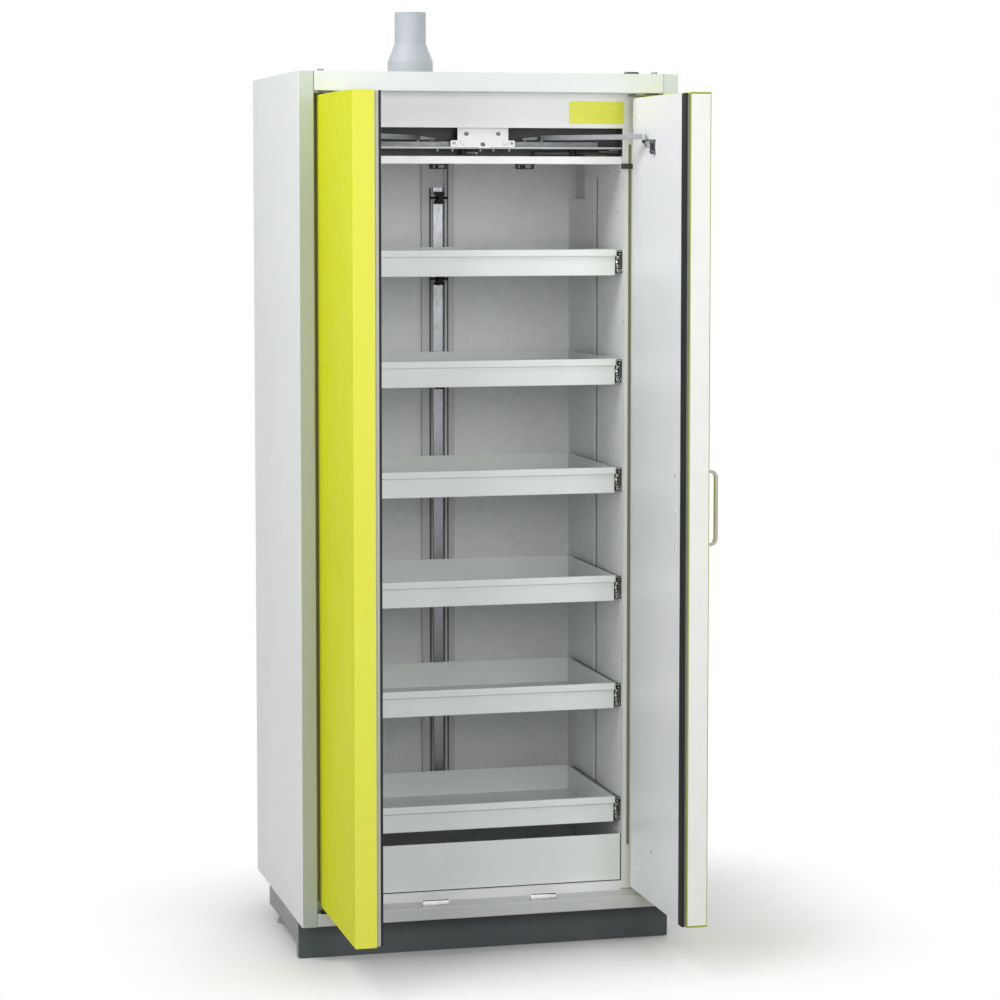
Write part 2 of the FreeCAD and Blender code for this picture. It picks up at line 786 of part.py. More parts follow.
def on_plinth_foot(edge):
    b = edge.BoundBox
    low = b.ZMin < 1e-6 and b.ZMax < 1e-6
    inner = abs(b.XMin) < plinth_x - plinth_sheet - 0.1
    return low and b.XLength < 1e-6 and inner


plinth_corner = both_sides(prism([
    (plinth_x + 1, plinth_face - 1, -1),
    (plinth_x - plinth_round, plinth_face - 1, -1),
    (plinth_x - plinth_round, plinth_face - 1, 0),
    (plinth_x, plinth_face - 1, plinth_round),
    (plinth_x + 1, plinth_face - 1, plinth_round),
], (0, plinth_return + 2, 0)))
emit("plinth_panel", plinth.cut(Part.makeCompound(plinth_corner)))

# Pivot pins fixed in fascia and threshold
pin_r = pivot_pin_d / 2


def pivot_set(z_fixed, z_leaf, up):
    # The pin stands in the body and reaches into the leaf bush.
    low = min(z_fixed, z_leaf)
    stop = z_leaf + (pivot_reach if up else -pivot_reach)
    back = z_fixed - (shell_sheet if up else -shell_sheet)
    z0, z1 = sorted((back, stop))
    pin = cyl(pin_r, pivot_x, pivot_y, z0, z1 - z0)
    spacer_end = z_leaf - (0.3 if up else -0.3)
    s0, s1 = sorted((z_fixed, spacer_end))
    spacer = cyl(pin_r + bush_wall, pivot_x, pivot_y, s0, s1 - s0)
    p0, p1 = sorted((z_fixed, z_fixed + (pivot_plate_thick if up else -pivot_plate_thick)))
    foot = box(pivot_x - pivot_plate, pivot_x + 8.0, 1.0, pivot_plate, p0, p1)
    return pin.fuse([spacer, foot]).removeSplitter()


pins = both_sides(pivot_set(threshold_top, leaf_low, True))
pins += both_sides(pivot_set(fascia_low, leaf_high, False))
emit("hinge_pins", pins)

# Door leaf, drawn closed on the right and then swung open
bush_r = pin_r + pivot_clearance + bush_wall
free_x = hinge_x - leaf_width
free_inner = 3.2


def leaf_box(u0, u1, v0, v1, z0, z1):
    return box(hinge_x - u1, hinge_x - u0, v0, v1, z0, z1)


def bush(z_leaf, up):
    inner = cyl(pin_r + pivot_clearance, pivot_x, pivot_y, z_leaf - 30.0, 60.0)
    z0, z1 = sorted((z_leaf, z_leaf + (pivot_reach + 4.0 if up else -pivot_reach - 4.0)))
    body = cyl(bush_r, pivot_x, pivot_y, z0, z1 - z0)
    return body.cut(inner)


def leaf_pan_shape(edge_wall):
    pan = leaf_box(0, leaf_width, 0, leaf_pan, leaf_low, leaf_high)
    pan = round_edges(pan, leaf_round, lambda e: e.BoundBox.YMax < 1e-6
                      or (is_vertical(e) and e.BoundBox.YMax < 1e-6))
    pocket = leaf_box(leaf_sheet, leaf_width - edge_wall, leaf_sheet, leaf_pan + 1,
                      leaf_low + leaf_sheet, leaf_high - leaf_sheet)
    pan = pan.cut(pocket)
    lip_in = leaf_return
    rim = leaf_box(leaf_sheet, leaf_width - edge_wall, leaf_pan - leaf_sheet, leaf_pan,
                   leaf_low + leaf_sheet, leaf_high - leaf_sheet)
    rim = rim.cut(leaf_box(leaf_sheet + lip_in, leaf_width - edge_wall - lip_in, 0, leaf_pan + 1,
                           leaf_low + leaf_sheet + lip_in, leaf_high - leaf_sheet - lip_in))
    pan = pan.fuse(rim).removeSplitter()
    for z, up in ((leaf_low, True), (leaf_high, False)):
        pan = pan.cut(cyl(bush_r, pivot_x, pivot_y, z - 5.0, 10.0))
    return pan


def leaf_core_shape(edge_wall):
    core = leaf_box(leaf_sheet, leaf_width - edge_wall, leaf_sheet, leaf_pan - leaf_sheet,
                    leaf_low + leaf_sheet, leaf_high - leaf_sheet)
    for z in (leaf_low, leaf_high):
        well = cyl(bush_r, pivot_x, pivot_y, z - pivot_reach - 4.0, 2 * pivot_reach + 8.0)
        core = core.cut(well)
    return core


strip_v0 = (leaf_pan - strip_width) / 2
left_pan = leaf_pan_shape(leaf_sheet)
right_pan = leaf_pan_shape(free_inner)
strip_pocket = leaf_box(leaf_width - strip_thick, leaf_width + 1, strip_v0, strip_v0 + strip_width,
                        leaf_low + strip_border, leaf_high - strip_border)
right_pan = right_pan.cut(strip_pocket)
edge_strip = leaf_box(leaf_width - strip_thick, leaf_width - 0.4, strip_v0, strip_v0 + strip_width,
                      leaf_low + strip_border, leaf_high - strip_border)

panel_low = leaf_low + panel_inset
panel_high = leaf_high - panel_inset
left_panel = leaf_box(panel_inset / 2, leaf_width - panel_setback, leaf_pan, leaf_inner, panel_low, panel_high)
right_panel = leaf_box(panel_inset / 2, leaf_width - panel_inset, leaf_pan, leaf_inner, panel_low, panel_high)
flush_u1 = leaf_width - panel_inset
rebate = leaf_box(flush_u1 - flush_seal_width, flush_u1 + 1, leaf_inner - flush_seal_thick, leaf_inner + 1,
                  panel_low - 1, panel_high + 1)
right_panel = right_panel.cut(rebate)
flush_seal = leaf_box(flush_u1 - flush_seal_width, flush_u1, leaf_inner - flush_seal_thick,
                      leaf_inner - 0.3, panel_low, panel_high)
flush_seal = round_edges(flush_seal, 1.5, lambda e: is_vertical(e) and e.BoundBox.YMin > leaf_inner - 0.4)
proud_seal = leaf_box(leaf_width - panel_setback - seal_width, leaf_width - panel_setback, leaf_inner,
                      leaf_inner + seal_proud, panel_low, panel_high)
proud_seal = round_edges(proud_seal, 1.8, lambda e: is_vertical(e) and e.BoundBox.YMin > leaf_inner + 1)

# Arm bracket on the inner face of the leaf: foot, post and link
arm_pin_r = arm_pin_d / 2
arm_u = leaf_width - arm_pivot_from_edge
arm_px = hinge_x - arm_u
arm_py = leaf_inner + arm_pivot_standoff
post_x = arm_px - arm_post_offset
post_z0 = arm_low - 31.0
post_z1 = arm_low - 5.0
foot = box(post_x - 10.0, post_x + 10.0, leaf_inner, leaf_inner + 3.0, post_z0 - 8.0, post_z1 + 2.0)
foot = round_edges(foot, 4.0, lambda e: e.BoundBox.XLength < 1e-6 and e.BoundBox.ZLength < 1e-6)
post = cyl(5.0, post_x, arm_py - 1.0, post_z0, post_z1 - post_z0)
stub = box(post_x - 4.0, post_x + 4.0, leaf_inner + 2.0, arm_py - 1.0, post_z0 + 2.0, post_z1 - 2.0)
link_z = arm_low - 4.3
link = box(post_x, arm_px, arm_py - 5.0, arm_py + 3.0, link_z - 3.0, link_z)
link_end = cyl(5.5, arm_px, arm_py, link_z - 3.0, 3.0)
link_root = cyl(5.0, post_x, arm_py - 1.0, link_z - 3.0, 3.0)
arm_pin = cyl(arm_pin_r, arm_px, arm_py, link_z - 3.0, arm_height + 6.3)
pin_head = cyl(arm_pin_r + 1.5, arm_px, arm_py, arm_low + arm_height + 0.4, 1.5)
spacer = cyl(arm_pin_r + 1.6, arm_px, arm_py, link_z, arm_low - 0.3 - link_z)
bracket = foot.fuse([post, stub, link, link_end, link_root, arm_pin, pin_head, spacer]).removeSplitter()

# Arm from the leaf to the roller in the guide rail, drawn at rest
open_pin = vec(pivot_x - (arm_py - pivot_y), pivot_y - (pivot_x - arm_px), 0)
roller_at = vec(roller_open_x, roller_line, 0)
arm_dir = roller_at.sub(open_pin)
arm_length = arm_dir.Length
arm_angle = math.degrees(math.atan2(arm_dir.y, arm_dir.x))
arm_mid_w = arm_width / 2
arm_flat = Part.Face(Part.Wire([
    Part.Arc(vec(0, arm_mid_w, 0), vec(-arm_mid_w, 0, 0), vec(0, -arm_mid_w, 0)).toShape(),
    Part.LineSegment(vec(0, -arm_mid_w, 0), vec(arm_length - 40.0, -arm_mid_w, 0)).toShape(),
    Part.LineSegment(vec(arm_length - 40.0, -arm_mid_w, 0), vec(arm_length, -5.0, 0)).toShape(),
    Part.Arc(vec(arm_length, -5.0, 0), vec(arm_length + 5.0, 0, 0), vec(arm_length, 5.0, 0)).toShape(),
    Part.LineSegment(vec(arm_length, 5.0, 0), vec(arm_length - 40.0, arm_mid_w, 0)).toShape(),
    Part.LineSegment(vec(arm_length - 40.0, arm_mid_w, 0), vec(0, arm_mid_w, 0)).toShape(),
]))
arm = arm_flat.extrude(vec(0, 0, arm_height))
arm = arm.cut(cyl(arm_pin_r + arm_clearance, 0, 0, -1, arm_height + 2))
axle_low = rail_base_top + 1.5 - arm_low
axle = cyl(2.5, arm_length, 0, axle_low, -axle_low)
arm = arm.fuse(axle)
roller = cyl(roller_d / 2, arm_length, 0, axle_low + 1.0, 9.0)
arm = arm.fuse(roller)
arm.rotate(vec(0, 0, 0), vec(0, 0, 1), arm_angle)
arm.translate(vec(open_pin.x, open_pin.y, arm_low))
emit("right_arm", arm)
emit("left_arm", mirrored(arm))

# Bow handle: one bent flat bar between two round feet
handle_x = free_x + handle_from_free_edge
half_len = handle_length / 2 - handle_bar_t
handle_path = [
    (0, handle_centre_z - half_len - handle_bar_t),
    (-handle_reach, handle_centre_z - half_len - handle_bar_t),
    (-handle_reach, handle_centre_z + half_len + handle_bar_t),
    (0, handle_centre_z + half_len + handle_bar_t),
]
grip = folded(handle_path[::-1], handle_bar_t, handle_bend - handle_bar_t, section_yz(handle_x - handle_bar_w / 2),
              (handle_bar_w, 0, 0))
grip = round_edges(grip, 1.4, lambda e: e.BoundBox.XLength < 1e-6)
emit("door_handle", opened(grip))

parts_right = {
    "right_leaf_pan": right_pan,
    "right_leaf_core": leaf_core_shape(free_inner),
    "right_leaf_panel": right_panel,
    "right_leaf_seal": flush_seal,
    "right_edge_strip": edge_strip,
    "right_arm_bracket": bracket,
    "right_pivot_bushes": [bush(leaf_low, True), bush(leaf_high, False)],
}
for name, shape in parts_right.items():
    shapes = shape if isinstance(shape, list) else [shape]
    emit(name, [opened(s) for s in shapes])

parts_left = {
    "left_leaf_pan": left_pan,
    "left_leaf_core": leaf_core_shape(leaf_sheet),
    "left_leaf_panel": left_panel,
    "left_leaf_seal": proud_seal,
    "left_arm_bracket": bracket,
    "left_pivot_bushes": [bush(leaf_low, True), bush(leaf_high, False)],
}
for name, shape in parts_left.items():
    shapes = shape if isinstance(shape, list) else [shape]
    emit(name, [mirrored(opened(s)) for s in shapes])

# Pull-out trays with a proud front lip
tray_x = opening_x - tray_side_gap


def tray_shape(lip_top):
    low = lip_top - tray_height
    pan = box(-tray_x, tray_x, tray_front, tray_back, low, lip_top)
    pan = round_edges(pan, tray_bend, lambda e: e.BoundBox.ZMax < low + 1e-6)
    pocket = box(-tray_x + tray_sheet, tray_x - tray_sheet, tray_front + tray_sheet, tray_back - tray_sheet,
                 low + tray_sheet, lip_top + 1)
    pan = pan.cut(pocket)
    lip = box(-tray_x - lip_overhang, tray_x + lip_overhang, tray_front - lip_proud, tray_front,
              lip_top - lip_height, lip_top)
    lip = round_edges(lip, lip_proud - 0.5, lambda e: is_vertical(e) and e.BoundBox.YMin < tray_front - 1)
    lip = round_edges(lip, 1.5, lambda e: e.BoundBox.XLength > 10 and e.BoundBox.YMin < tray_front - 1)
    return pan.fuse(lip).removeSplitter()


slide_start = tray_front + slide_setback


def slide_rail(lip_top):
    # Fixed C section, open towards the tray
    low = lip_top - rail_low_below_lip
    high = low + slide_height
    x1 = opening_x
    x0 = opening_x - tray_side_gap + slide_sheet + 0.8
    rail = box(x0, x1, slide_start, slide_start + slide_length, low, high)
    rail = rail.cut(box(x0 - 1, x1 - slide_sheet, slide_start - 1, slide_start + slide_length + 1,
                        low + slide_sheet, high - slide_sheet))
    lips = []
    for z0, z1 in ((low, low + slide_sheet + slide_lip), (high - slide_sheet - slide_lip, high)):
        lips.append(box(x0, x0 + slide_sheet, slide_start, slide_start + slide_length, z0, z1))
    return rail.fuse(lips).removeSplitter()


def slide_runner(lip_top):
    # Moving member: web on the tray wall and a head inside the rail
    low = lip_top - rail_low_below_lip + slide_sheet + slide_lip + slide_running_gap
    high = lip_top - rail_low_below_lip + slide_height - slide_sheet - slide_lip - slide_running_gap
    x0 = tray_x
    neck = opening_x - tray_side_gap + 2 * slide_sheet + 0.8
    x_head0 = neck + slide_running_gap
    x_head1 = opening_x - slide_sheet - slide_running_gap
    y0 = slide_start
    y1 = slide_start + slide_length
    web = box(x0, x_head1, y0, y1, low, high)
    web = web.cut(box(x0 + slide_sheet, x_head1 + 1, y0 - 1, y1 + 1, low + slide_sheet, high - slide_sheet))
    foot_low = box(x_head0, x_head1, y0, y1, low - slide_lip, low + slide_sheet)
    foot_high = box(x_head0, x_head1, y0, y1, high - slide_sheet, high + slide_lip)
    return web.fuse([foot_low, foot_high]).removeSplitter()


rails = []
for index, lip_top in enumerate(tray_lip_tops):
    number = str(index + 1)
    emit("tray_" + number, tray_shape(lip_top))
    emit("tray_" + number + "_runners", both_sides(slide_runner(lip_top)))
    rails += both_sides(slide_rail(lip_top))
emit("slide_rails", rails)

# Sump pan on the cabinet floor
sump_x = opening_x - sump_side_gap
sump_low = sill_top + sump_lift
sump_high = sump_low + sump_height
sump = box(-sump_x, sump_x, sump_face, sump_face + sump_depth, sump_low, sump_high)
sump = round_edges(sump, 2.0, is_vertical)
sump = sump.cut(box(-sump_x + sump_sheet, sump_x - sump_sheet, sump_face + sump_sheet,
                    sump_face + sump_depth - sump_sheet, sump_low + sump_sheet, sump_high + 1))
runner = box(sump_x - 60.0, sump_x - 40.0, sump_face + 20.0, sump_face + sump_depth - 20.0,
             sill_top + 0.25, sump_low)
sump = sump.fuse(both_sides(runner)).removeSplitter()
emit("sump_pan", sump)

print("origin shift", round(y_shift, 3))
print("pivot", pivot_x, round(pivot_y - y_shift, 3))
print("arm pin", round(open_pin.x, 3), round(open_pin.y - y_shift, 3), "angle", round(arm_angle, 3))
print("arm length", round(arm_length, 3))
closed_y = arm_py
closed_angle = 180.0 - math.degrees(math.asin((roller_line - closed_y) / arm_length))
print("arm ratio", round(-(closed_angle - arm_angle + 90.0) / 90.0, 5))
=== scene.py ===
import math
import bmesh
import bpy
from mathutils import Matrix, Vector


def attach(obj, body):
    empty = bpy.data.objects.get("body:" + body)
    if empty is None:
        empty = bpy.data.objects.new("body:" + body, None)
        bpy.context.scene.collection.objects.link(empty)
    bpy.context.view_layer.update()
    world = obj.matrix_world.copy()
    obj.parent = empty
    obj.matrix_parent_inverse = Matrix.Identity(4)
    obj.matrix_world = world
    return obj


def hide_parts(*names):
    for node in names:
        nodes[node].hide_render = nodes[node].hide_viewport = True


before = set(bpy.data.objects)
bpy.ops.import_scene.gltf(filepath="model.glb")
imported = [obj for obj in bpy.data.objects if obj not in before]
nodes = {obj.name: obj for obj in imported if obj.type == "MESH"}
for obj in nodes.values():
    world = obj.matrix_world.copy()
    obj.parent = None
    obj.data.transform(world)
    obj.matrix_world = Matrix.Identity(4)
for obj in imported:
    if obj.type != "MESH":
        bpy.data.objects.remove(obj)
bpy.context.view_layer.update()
mm = 0.001
frontPlane = -113.9  # front of the body, mm in the shared frame
frameFace = frontPlane + 62.0  # front of the door frame and the header, mm
trayNumbers = range(1, 7)  # counted from the top
print("frame loaded:", len(nodes), "nodes")


def linearColour(hexText):
    channels = [int(hexText[i:i + 2], 16) / 255 for i in (0, 2, 4)]
    return tuple(c / 12.92 if c <= 0.04045 else ((c + 0.055) / 1.055) ** 2.4 for c in channels) + (1.0,)


def addNode(tree, kind, settings=None, inputs=None):
    node = tree.nodes.new(kind)
    for key, value in (settings or {}).items():
        setattr(node, key, value)
    for key, value in (inputs or {}).items():
        if isinstance(value, bpy.types.NodeSocket):
            tree.links.new(value, node.inputs[key])
        else:
            node.inputs[key].default_value = value
    return node


def startMaterial(name, constants):
    material = bpy.data.materials.new(name)
    material.use_nodes = True
    tree = material.node_tree
    shader = tree.nodes["Principled BSDF"]
    for key, value in constants.items():
        shader.inputs[key].default_value = value
    place = addNode(tree, "ShaderNodeTexCoord").outputs["Object"]
    return material, tree, shader, place


# Patterns that are the same in every look of a maker, in mm
patternMm = {"smear": 60, "bloom": 12, "cloud": 45, "pore": 3, "wave": 35}
noiseSpan = (0.3, 0.7)  # a noise lies mostly between these


def twoTones(tree, pattern, look, span=noiseSpan):
    # the look's colour where the pattern is low, its shade where it is high
    tone = addNode(tree, "ShaderNodeMapRange", {},
                   {"Value": pattern.outputs["Fac"], "From Min": span[0], "From Max": span[1]})
    mixed = addNode(tree, "ShaderNodeMix", {"data_type": "RGBA"},
                    {"Factor": tone.outputs["Result"], 6: linearColour(look["colour"]), 7: linearColour(look["shade"])})
    return mixed.outputs[2]


def dressShader(tree, shader, look, colour, wear, stray, relief, strength, depth, span=noiseSpan):
    # roughness strays from the look's with the wear pattern, and the relief pattern is a bump of depth mm
    rough = addNode(tree, "ShaderNodeMapRange", {},
                    {"Value": wear.outputs["Fac"], "From Min": span[0], "From Max": span[1],
                     "To Min": look["roughness"] - stray, "To Max": look["roughness"] + stray})
    bump = addNode(tree, "ShaderNodeBump", {},
                   {"Height": relief.outputs["Fac"], "Strength": strength, "Distance": depth * mm})
    tree.links.new(colour, shader.inputs["Base Color"])
    tree.links.new(rough.outputs["Result"], shader.inputs["Roughness"])
    tree.links.new(bump.outputs["Normal"], shader.inputs["Normal"])


def powderCoat(name, look):
    # Sprayed polyester powder, baked: soft satin skin with a faint orange peel.
    # The real peel is about 1.5 mm wide, drawn at 3 to 8 mm so that the render shows it.
    material, tree, shader, place = startMaterial(name, {"IOR": 1.5, "Specular IOR Level": look.get("gloss", 0.5)})
    patches = addNode(tree, "ShaderNodeTexNoise", {}, {"Vector": place, "Scale": 1000 / look["patchMm"], "Detail": 3.0})
    colour = twoTones(tree, patches, look, (0.35, 0.65))
    if "foldPaintedTone" in look:
        # The foremost fold has the tone it shows in the photograph, where the open leaf shades and tints it.
        # It stands in for light and is not in the real paint: without the fold entries the coat is plain.
        # On the side bands the fold tone is painted shade with a painted yellow reflection; on the right pan's free
        # edge it is painted shade, on the left pan's free edge a painted highlight.
        depth = addNode(tree, "ShaderNodeSeparateXYZ", {}, {"Vector": place})
        fold = addNode(tree, "ShaderNodeMath", {"operation": "LESS_THAN"},
                       {0: depth.outputs["Y"], 1: look["foldFront"] * mm})
        paintedFoldColour = linearColour(look["foldPaintedTone"])
        # On the left side band the painted shade lightens towards the top, over the heights in foldFade.
        if "foldTopPaintedTone" in look:
            low, high = look["foldFade"]
            rise = addNode(tree, "ShaderNodeMapRange", {},
                           {"Value": depth.outputs["Z"], "From Min": low * mm, "From Max": high * mm})
            faded = addNode(tree, "ShaderNodeMix", {"data_type": "RGBA"},
                            {"Factor": rise.outputs["Result"], 6: paintedFoldColour, 7: linearColour(look["foldTopPaintedTone"])})
            paintedFoldColour = faded.outputs[2]
        banded = addNode(tree, "ShaderNodeMix", {"data_type": "RGBA"},
                         {"Factor": fold.outputs[0], 6: colour, 7: paintedFoldColour})
        colour = banded.outputs[2]
    smears = addNode(tree, "ShaderNodeTexNoise", {},
                     {"Vector": place, "Scale": 1000 / patternMm["smear"], "Detail": 4.0})
    peel = addNode(tree, "ShaderNodeTexNoise", {}, {"Vector": place, "Scale": 1000 / look["peelMm"], "Detail": 2.0})
    dressShader(tree, shader, look, colour, smears, 0.05, peel, look["peel"], 0.15)
    return material


def platedSteel(name, look):
    # Cold-rolled steel, zinc plated: bluish metal, rolled streaks along the strip and a cloudy bloom.
    # Real streaks are well under 1 mm apart, drawn at 1.5 to 4 mm so that the render shows them.
    material, tree, shader, place = startMaterial(name, {"Metallic": 1.0})
    stretch = addNode(tree, "ShaderNodeMapping", {"vector_type": "POINT"}, {"Vector": place, "Scale": look["stretch"]})
    streaks = addNode(tree, "ShaderNodeTexNoise", {},
                      {"Vector": stretch.outputs["Vector"], "Scale": 1000 / look["streakMm"], "Detail": 3.0})
    bloom = addNode(tree, "ShaderNodeTexNoise", {},
                    {"Vector": place, "Scale": 1000 / patternMm["bloom"], "Detail": 4.0})
    dressShader(tree, shader, look, twoTones(tree, bloom, look), streaks, 0.08, streaks, 0.25, 0.05)
    return material


def mouldedPlastic(name, look):
    # Injection-moulded plastic with a spark-eroded tool grain: even colour, soft broad shine.
    # The real grain is well under 1 mm, drawn at 2.5 to 4 mm so that the render shows it.
    material, tree, shader, place = startMaterial(name, {"IOR": 1.49, "Specular IOR Level": look.get("gloss", 0.5)})
    grain = addNode(tree, "ShaderNodeTexNoise", {}, {"Vector": place, "Scale": 1000 / look["grainMm"], "Detail": 3.0})
    clouds = addNode(tree, "ShaderNodeTexNoise", {},
                     {"Vector": place, "Scale": 1000 / patternMm["cloud"], "Detail": 2.0})
    dressShader(tree, shader, look, twoTones(tree, clouds, look), grain, 0.06, grain, look["grain"], 0.1)
    return material


def foamedSeal(name, look):
    # Extruded graphite strip under a thin skin: nearly black, faint ribs along its length.
    # The wave node counts in radians, 20 of them in a unit, so a whole rib is 6.3 times ribMm.
    material, tree, shader, place = startMaterial(name, {"IOR": 1.5, "Specular IOR Level": look["gloss"]})
    ribs = addNode(tree, "ShaderNodeTexWave", {"wave_type": "BANDS", "bands_direction": "X"},
                   {"Vector": place, "Scale": 1000 / look["ribMm"] / 20, "Distortion": 0.6, "Detail": 1.0})
    pores = addNode(tree, "ShaderNodeTexNoise", {}, {"Vector": place, "Scale": 1000 / patternMm["pore"], "Detail": 3.0})
    dressShader(tree, shader, look, twoTones(tree, pores, look), pores, 0.1, ribs, 0.4, 0.2, (0.0, 1.0))
    return material


def coatedBoard(name, look):
    # Calcium silicate board under a resin film: matt, very slightly mottled, with faint pressed waves.
    material, tree, shader, place = startMaterial(name, {"IOR": 1.5})
    mottle = addNode(tree, "ShaderNodeTexNoise", {},
                     {"Vector": place, "Scale": 1000 / look["mottleMm"], "Detail": 5.0, "Roughness": 0.6})
    waves = addNode(tree, "ShaderNodeTexNoise", {}, {"Vector": place, "Scale": 1000 / patternMm["wave"], "Detail": 3.0})
    dressShader(tree, shader, look, twoTones(tree, mottle, look), waves, 0.06, waves, 0.15, 0.4)
    return material


paintLooks = {
    "shellPowderCoat": {"colour": "DFE4E1", "shade": "DBE0DD", "roughness": 0.45, "peelMm": 5, "peel": 0.16,
                        "patchMm": 420},
    # The fold tone here is painted shade on the front band of the right side panel.
    "sidePowderCoat": {"colour": "E8ECEB", "shade": "E4E8E7", "roughness": 0.45, "peelMm": 5, "peel": 0.16,
                       "patchMm": 420, "foldFront": -113.3, "foldPaintedTone": "CFD9D5"},
    # Painted shade and painted yellow reflection on the front band of the left side panel, lighter towards the top.
    "paintedShadeFoldCoat": {"colour": "E8ECEB", "shade": "E4E8E7", "roughness": 0.45, "peelMm": 5, "peel": 0.16,
                           "patchMm": 420, "foldFront": -113.3, "foldPaintedTone": "AFB5B0", "foldTopPaintedTone": "C1CBC2",
                           "foldFade": (1700.0, 1960.0)},
    "framePowderCoat": {"colour": "EEEFEE", "shade": "E9EAE9", "roughness": 0.48, "peelMm": 5, "peel": 0.14,
                        "patchMm": 300},
    # The threshold's coat, also on the strip along the rail's lower flange, where its pale colour is a painted
    # highlight.
    "thresholdCoatAndLipHighlight": {"colour": "C8CBC8", "shade": "C2C5C2", "roughness": 0.45, "peelMm": 5, "peel": 0.14,
                            "patchMm": 300},
    "trayPowderCoat": {"colour": "E6EAE7", "shade": "E1E5E2", "roughness": 0.42, "peelMm": 4, "peel": 0.14,
                       "patchMm": 200},
    "headerPowderCoat": {"colour": "F5F6F6", "shade": "F0F2F2", "roughness": 0.4, "peelMm": 4, "peel": 0.12,
                         "patchMm": 150},
    "columnPowderCoat": {"colour": "D8D9D9", "shade": "D2D4D4", "roughness": 0.5, "peelMm": 4, "peel": 0.12,
                         "patchMm": 200},
    # The fold tone here is a painted highlight: a paler yellow on the left pan's free edge.
    "doorYellowPowderCoat": {"colour": "DEE41E", "shade": "D8DE1B", "roughness": 0.5, "peelMm": 5, "peel": 0.16,
                             "patchMm": 500, "gloss": 0.08, "foldFront": -485.4, "foldPaintedTone": "E2E455"},
    # The fold tone here is olive painted shade on the free edge of the right pan.
    "paintedShadeEdgeYellowCoat": {"colour": "DEE41E", "shade": "D8DE1B", "roughness": 0.5, "peelMm": 5, "peel": 0.16,
                              "patchMm": 500, "gloss": 0.08, "foldFront": -485.7, "foldPaintedTone": "A3AB48"},
    "doorInnerPowderCoat": {"colour": "F4F5F7", "shade": "EFF1F3", "roughness": 0.4, "peelMm": 5, "peel": 0.14,
                            "patchMm": 450},
    # Olive for the bead beside the right pan: painted shade.
    "oliveShadeBead": {"colour": "9AA04E", "shade": "7F862B", "roughness": 0.5, "peelMm": 4, "peel": 0.1,
                       "patchMm": 300, "gloss": 0.2},
    "handlePowderCoat": {"colour": "CDCBD0", "shade": "C4C2C7", "roughness": 0.35, "peelMm": 3, "peel": 0.1,
                         "patchMm": 80},
    # Dark grey for the sheet behind the guide rail: painted shade.
    "railShadeGreyPaint": {"colour": "525353", "shade": "4B4C4C", "roughness": 0.6, "peelMm": 4, "peel": 0.12,
                        "patchMm": 200, "gloss": 0.3},
    "basePowderCoat": {"colour": "868889", "shade": "86898A", "roughness": 0.5, "peelMm": 4, "peel": 0.14,
                       "patchMm": 200},
    "plinthPowderCoat": {"colour": "545A5C", "shade": "4F5557", "roughness": 0.55, "peelMm": 4, "peel": 0.16,
                         "patchMm": 260, "gloss": 0.3},
}
steelLooks = {
    "zincPlatedSteel": {"colour": "8E9191", "shade": "7C8081", "roughness": 0.48, "streakMm": 3,
                        "stretch": (0.2, 1.0, 1.0)},
    "channelSteel": {"colour": "717475", "shade": "66696A", "roughness": 0.5, "streakMm": 3,
                     "stretch": (0.2, 1.0, 1.0)},
    "galvanisedStrip": {"colour": "949699", "shade": "8B8D90", "roughness": 0.36, "streakMm": 4,
                        "stretch": (1.0, 1.0, 0.2)},
    "rolledArmSteel": {"colour": "A2A5A7", "shade": "A8ABAE", "roughness": 0.45, "streakMm": 2.5,
                       "stretch": (0.25, 0.25, 1.0)},
    "brightZincSteel": {"colour": "E2E3E2", "shade": "D3D5D4", "roughness": 0.26, "streakMm": 3,
                        "stretch": (0.3, 1.0, 1.0)},
    "slideZincSteel": {"colour": "9A9D9E", "shade": "86898B", "roughness": 0.4, "streakMm": 2.5,
                       "stretch": (1.0, 0.1, 1.0)},
    "forgedBracketSteel": {"colour": "63666A", "shade": "56595D", "roughness": 0.5, "streakMm": 3,
                           "stretch": (1.0, 1.0, 1.0)},
    "blackenedSteel": {"colour": "3A3C3E", "shade": "2E3032", "roughness": 0.4, "streakMm": 2,
                       "stretch": (1.0, 1.0, 1.0)},
    "turnedBrass": {"colour": "C9A45A", "shade": "B58F48", "roughness": 0.3, "streakMm": 1.5,
                    "stretch": (1.0, 1.0, 0.3)},
}
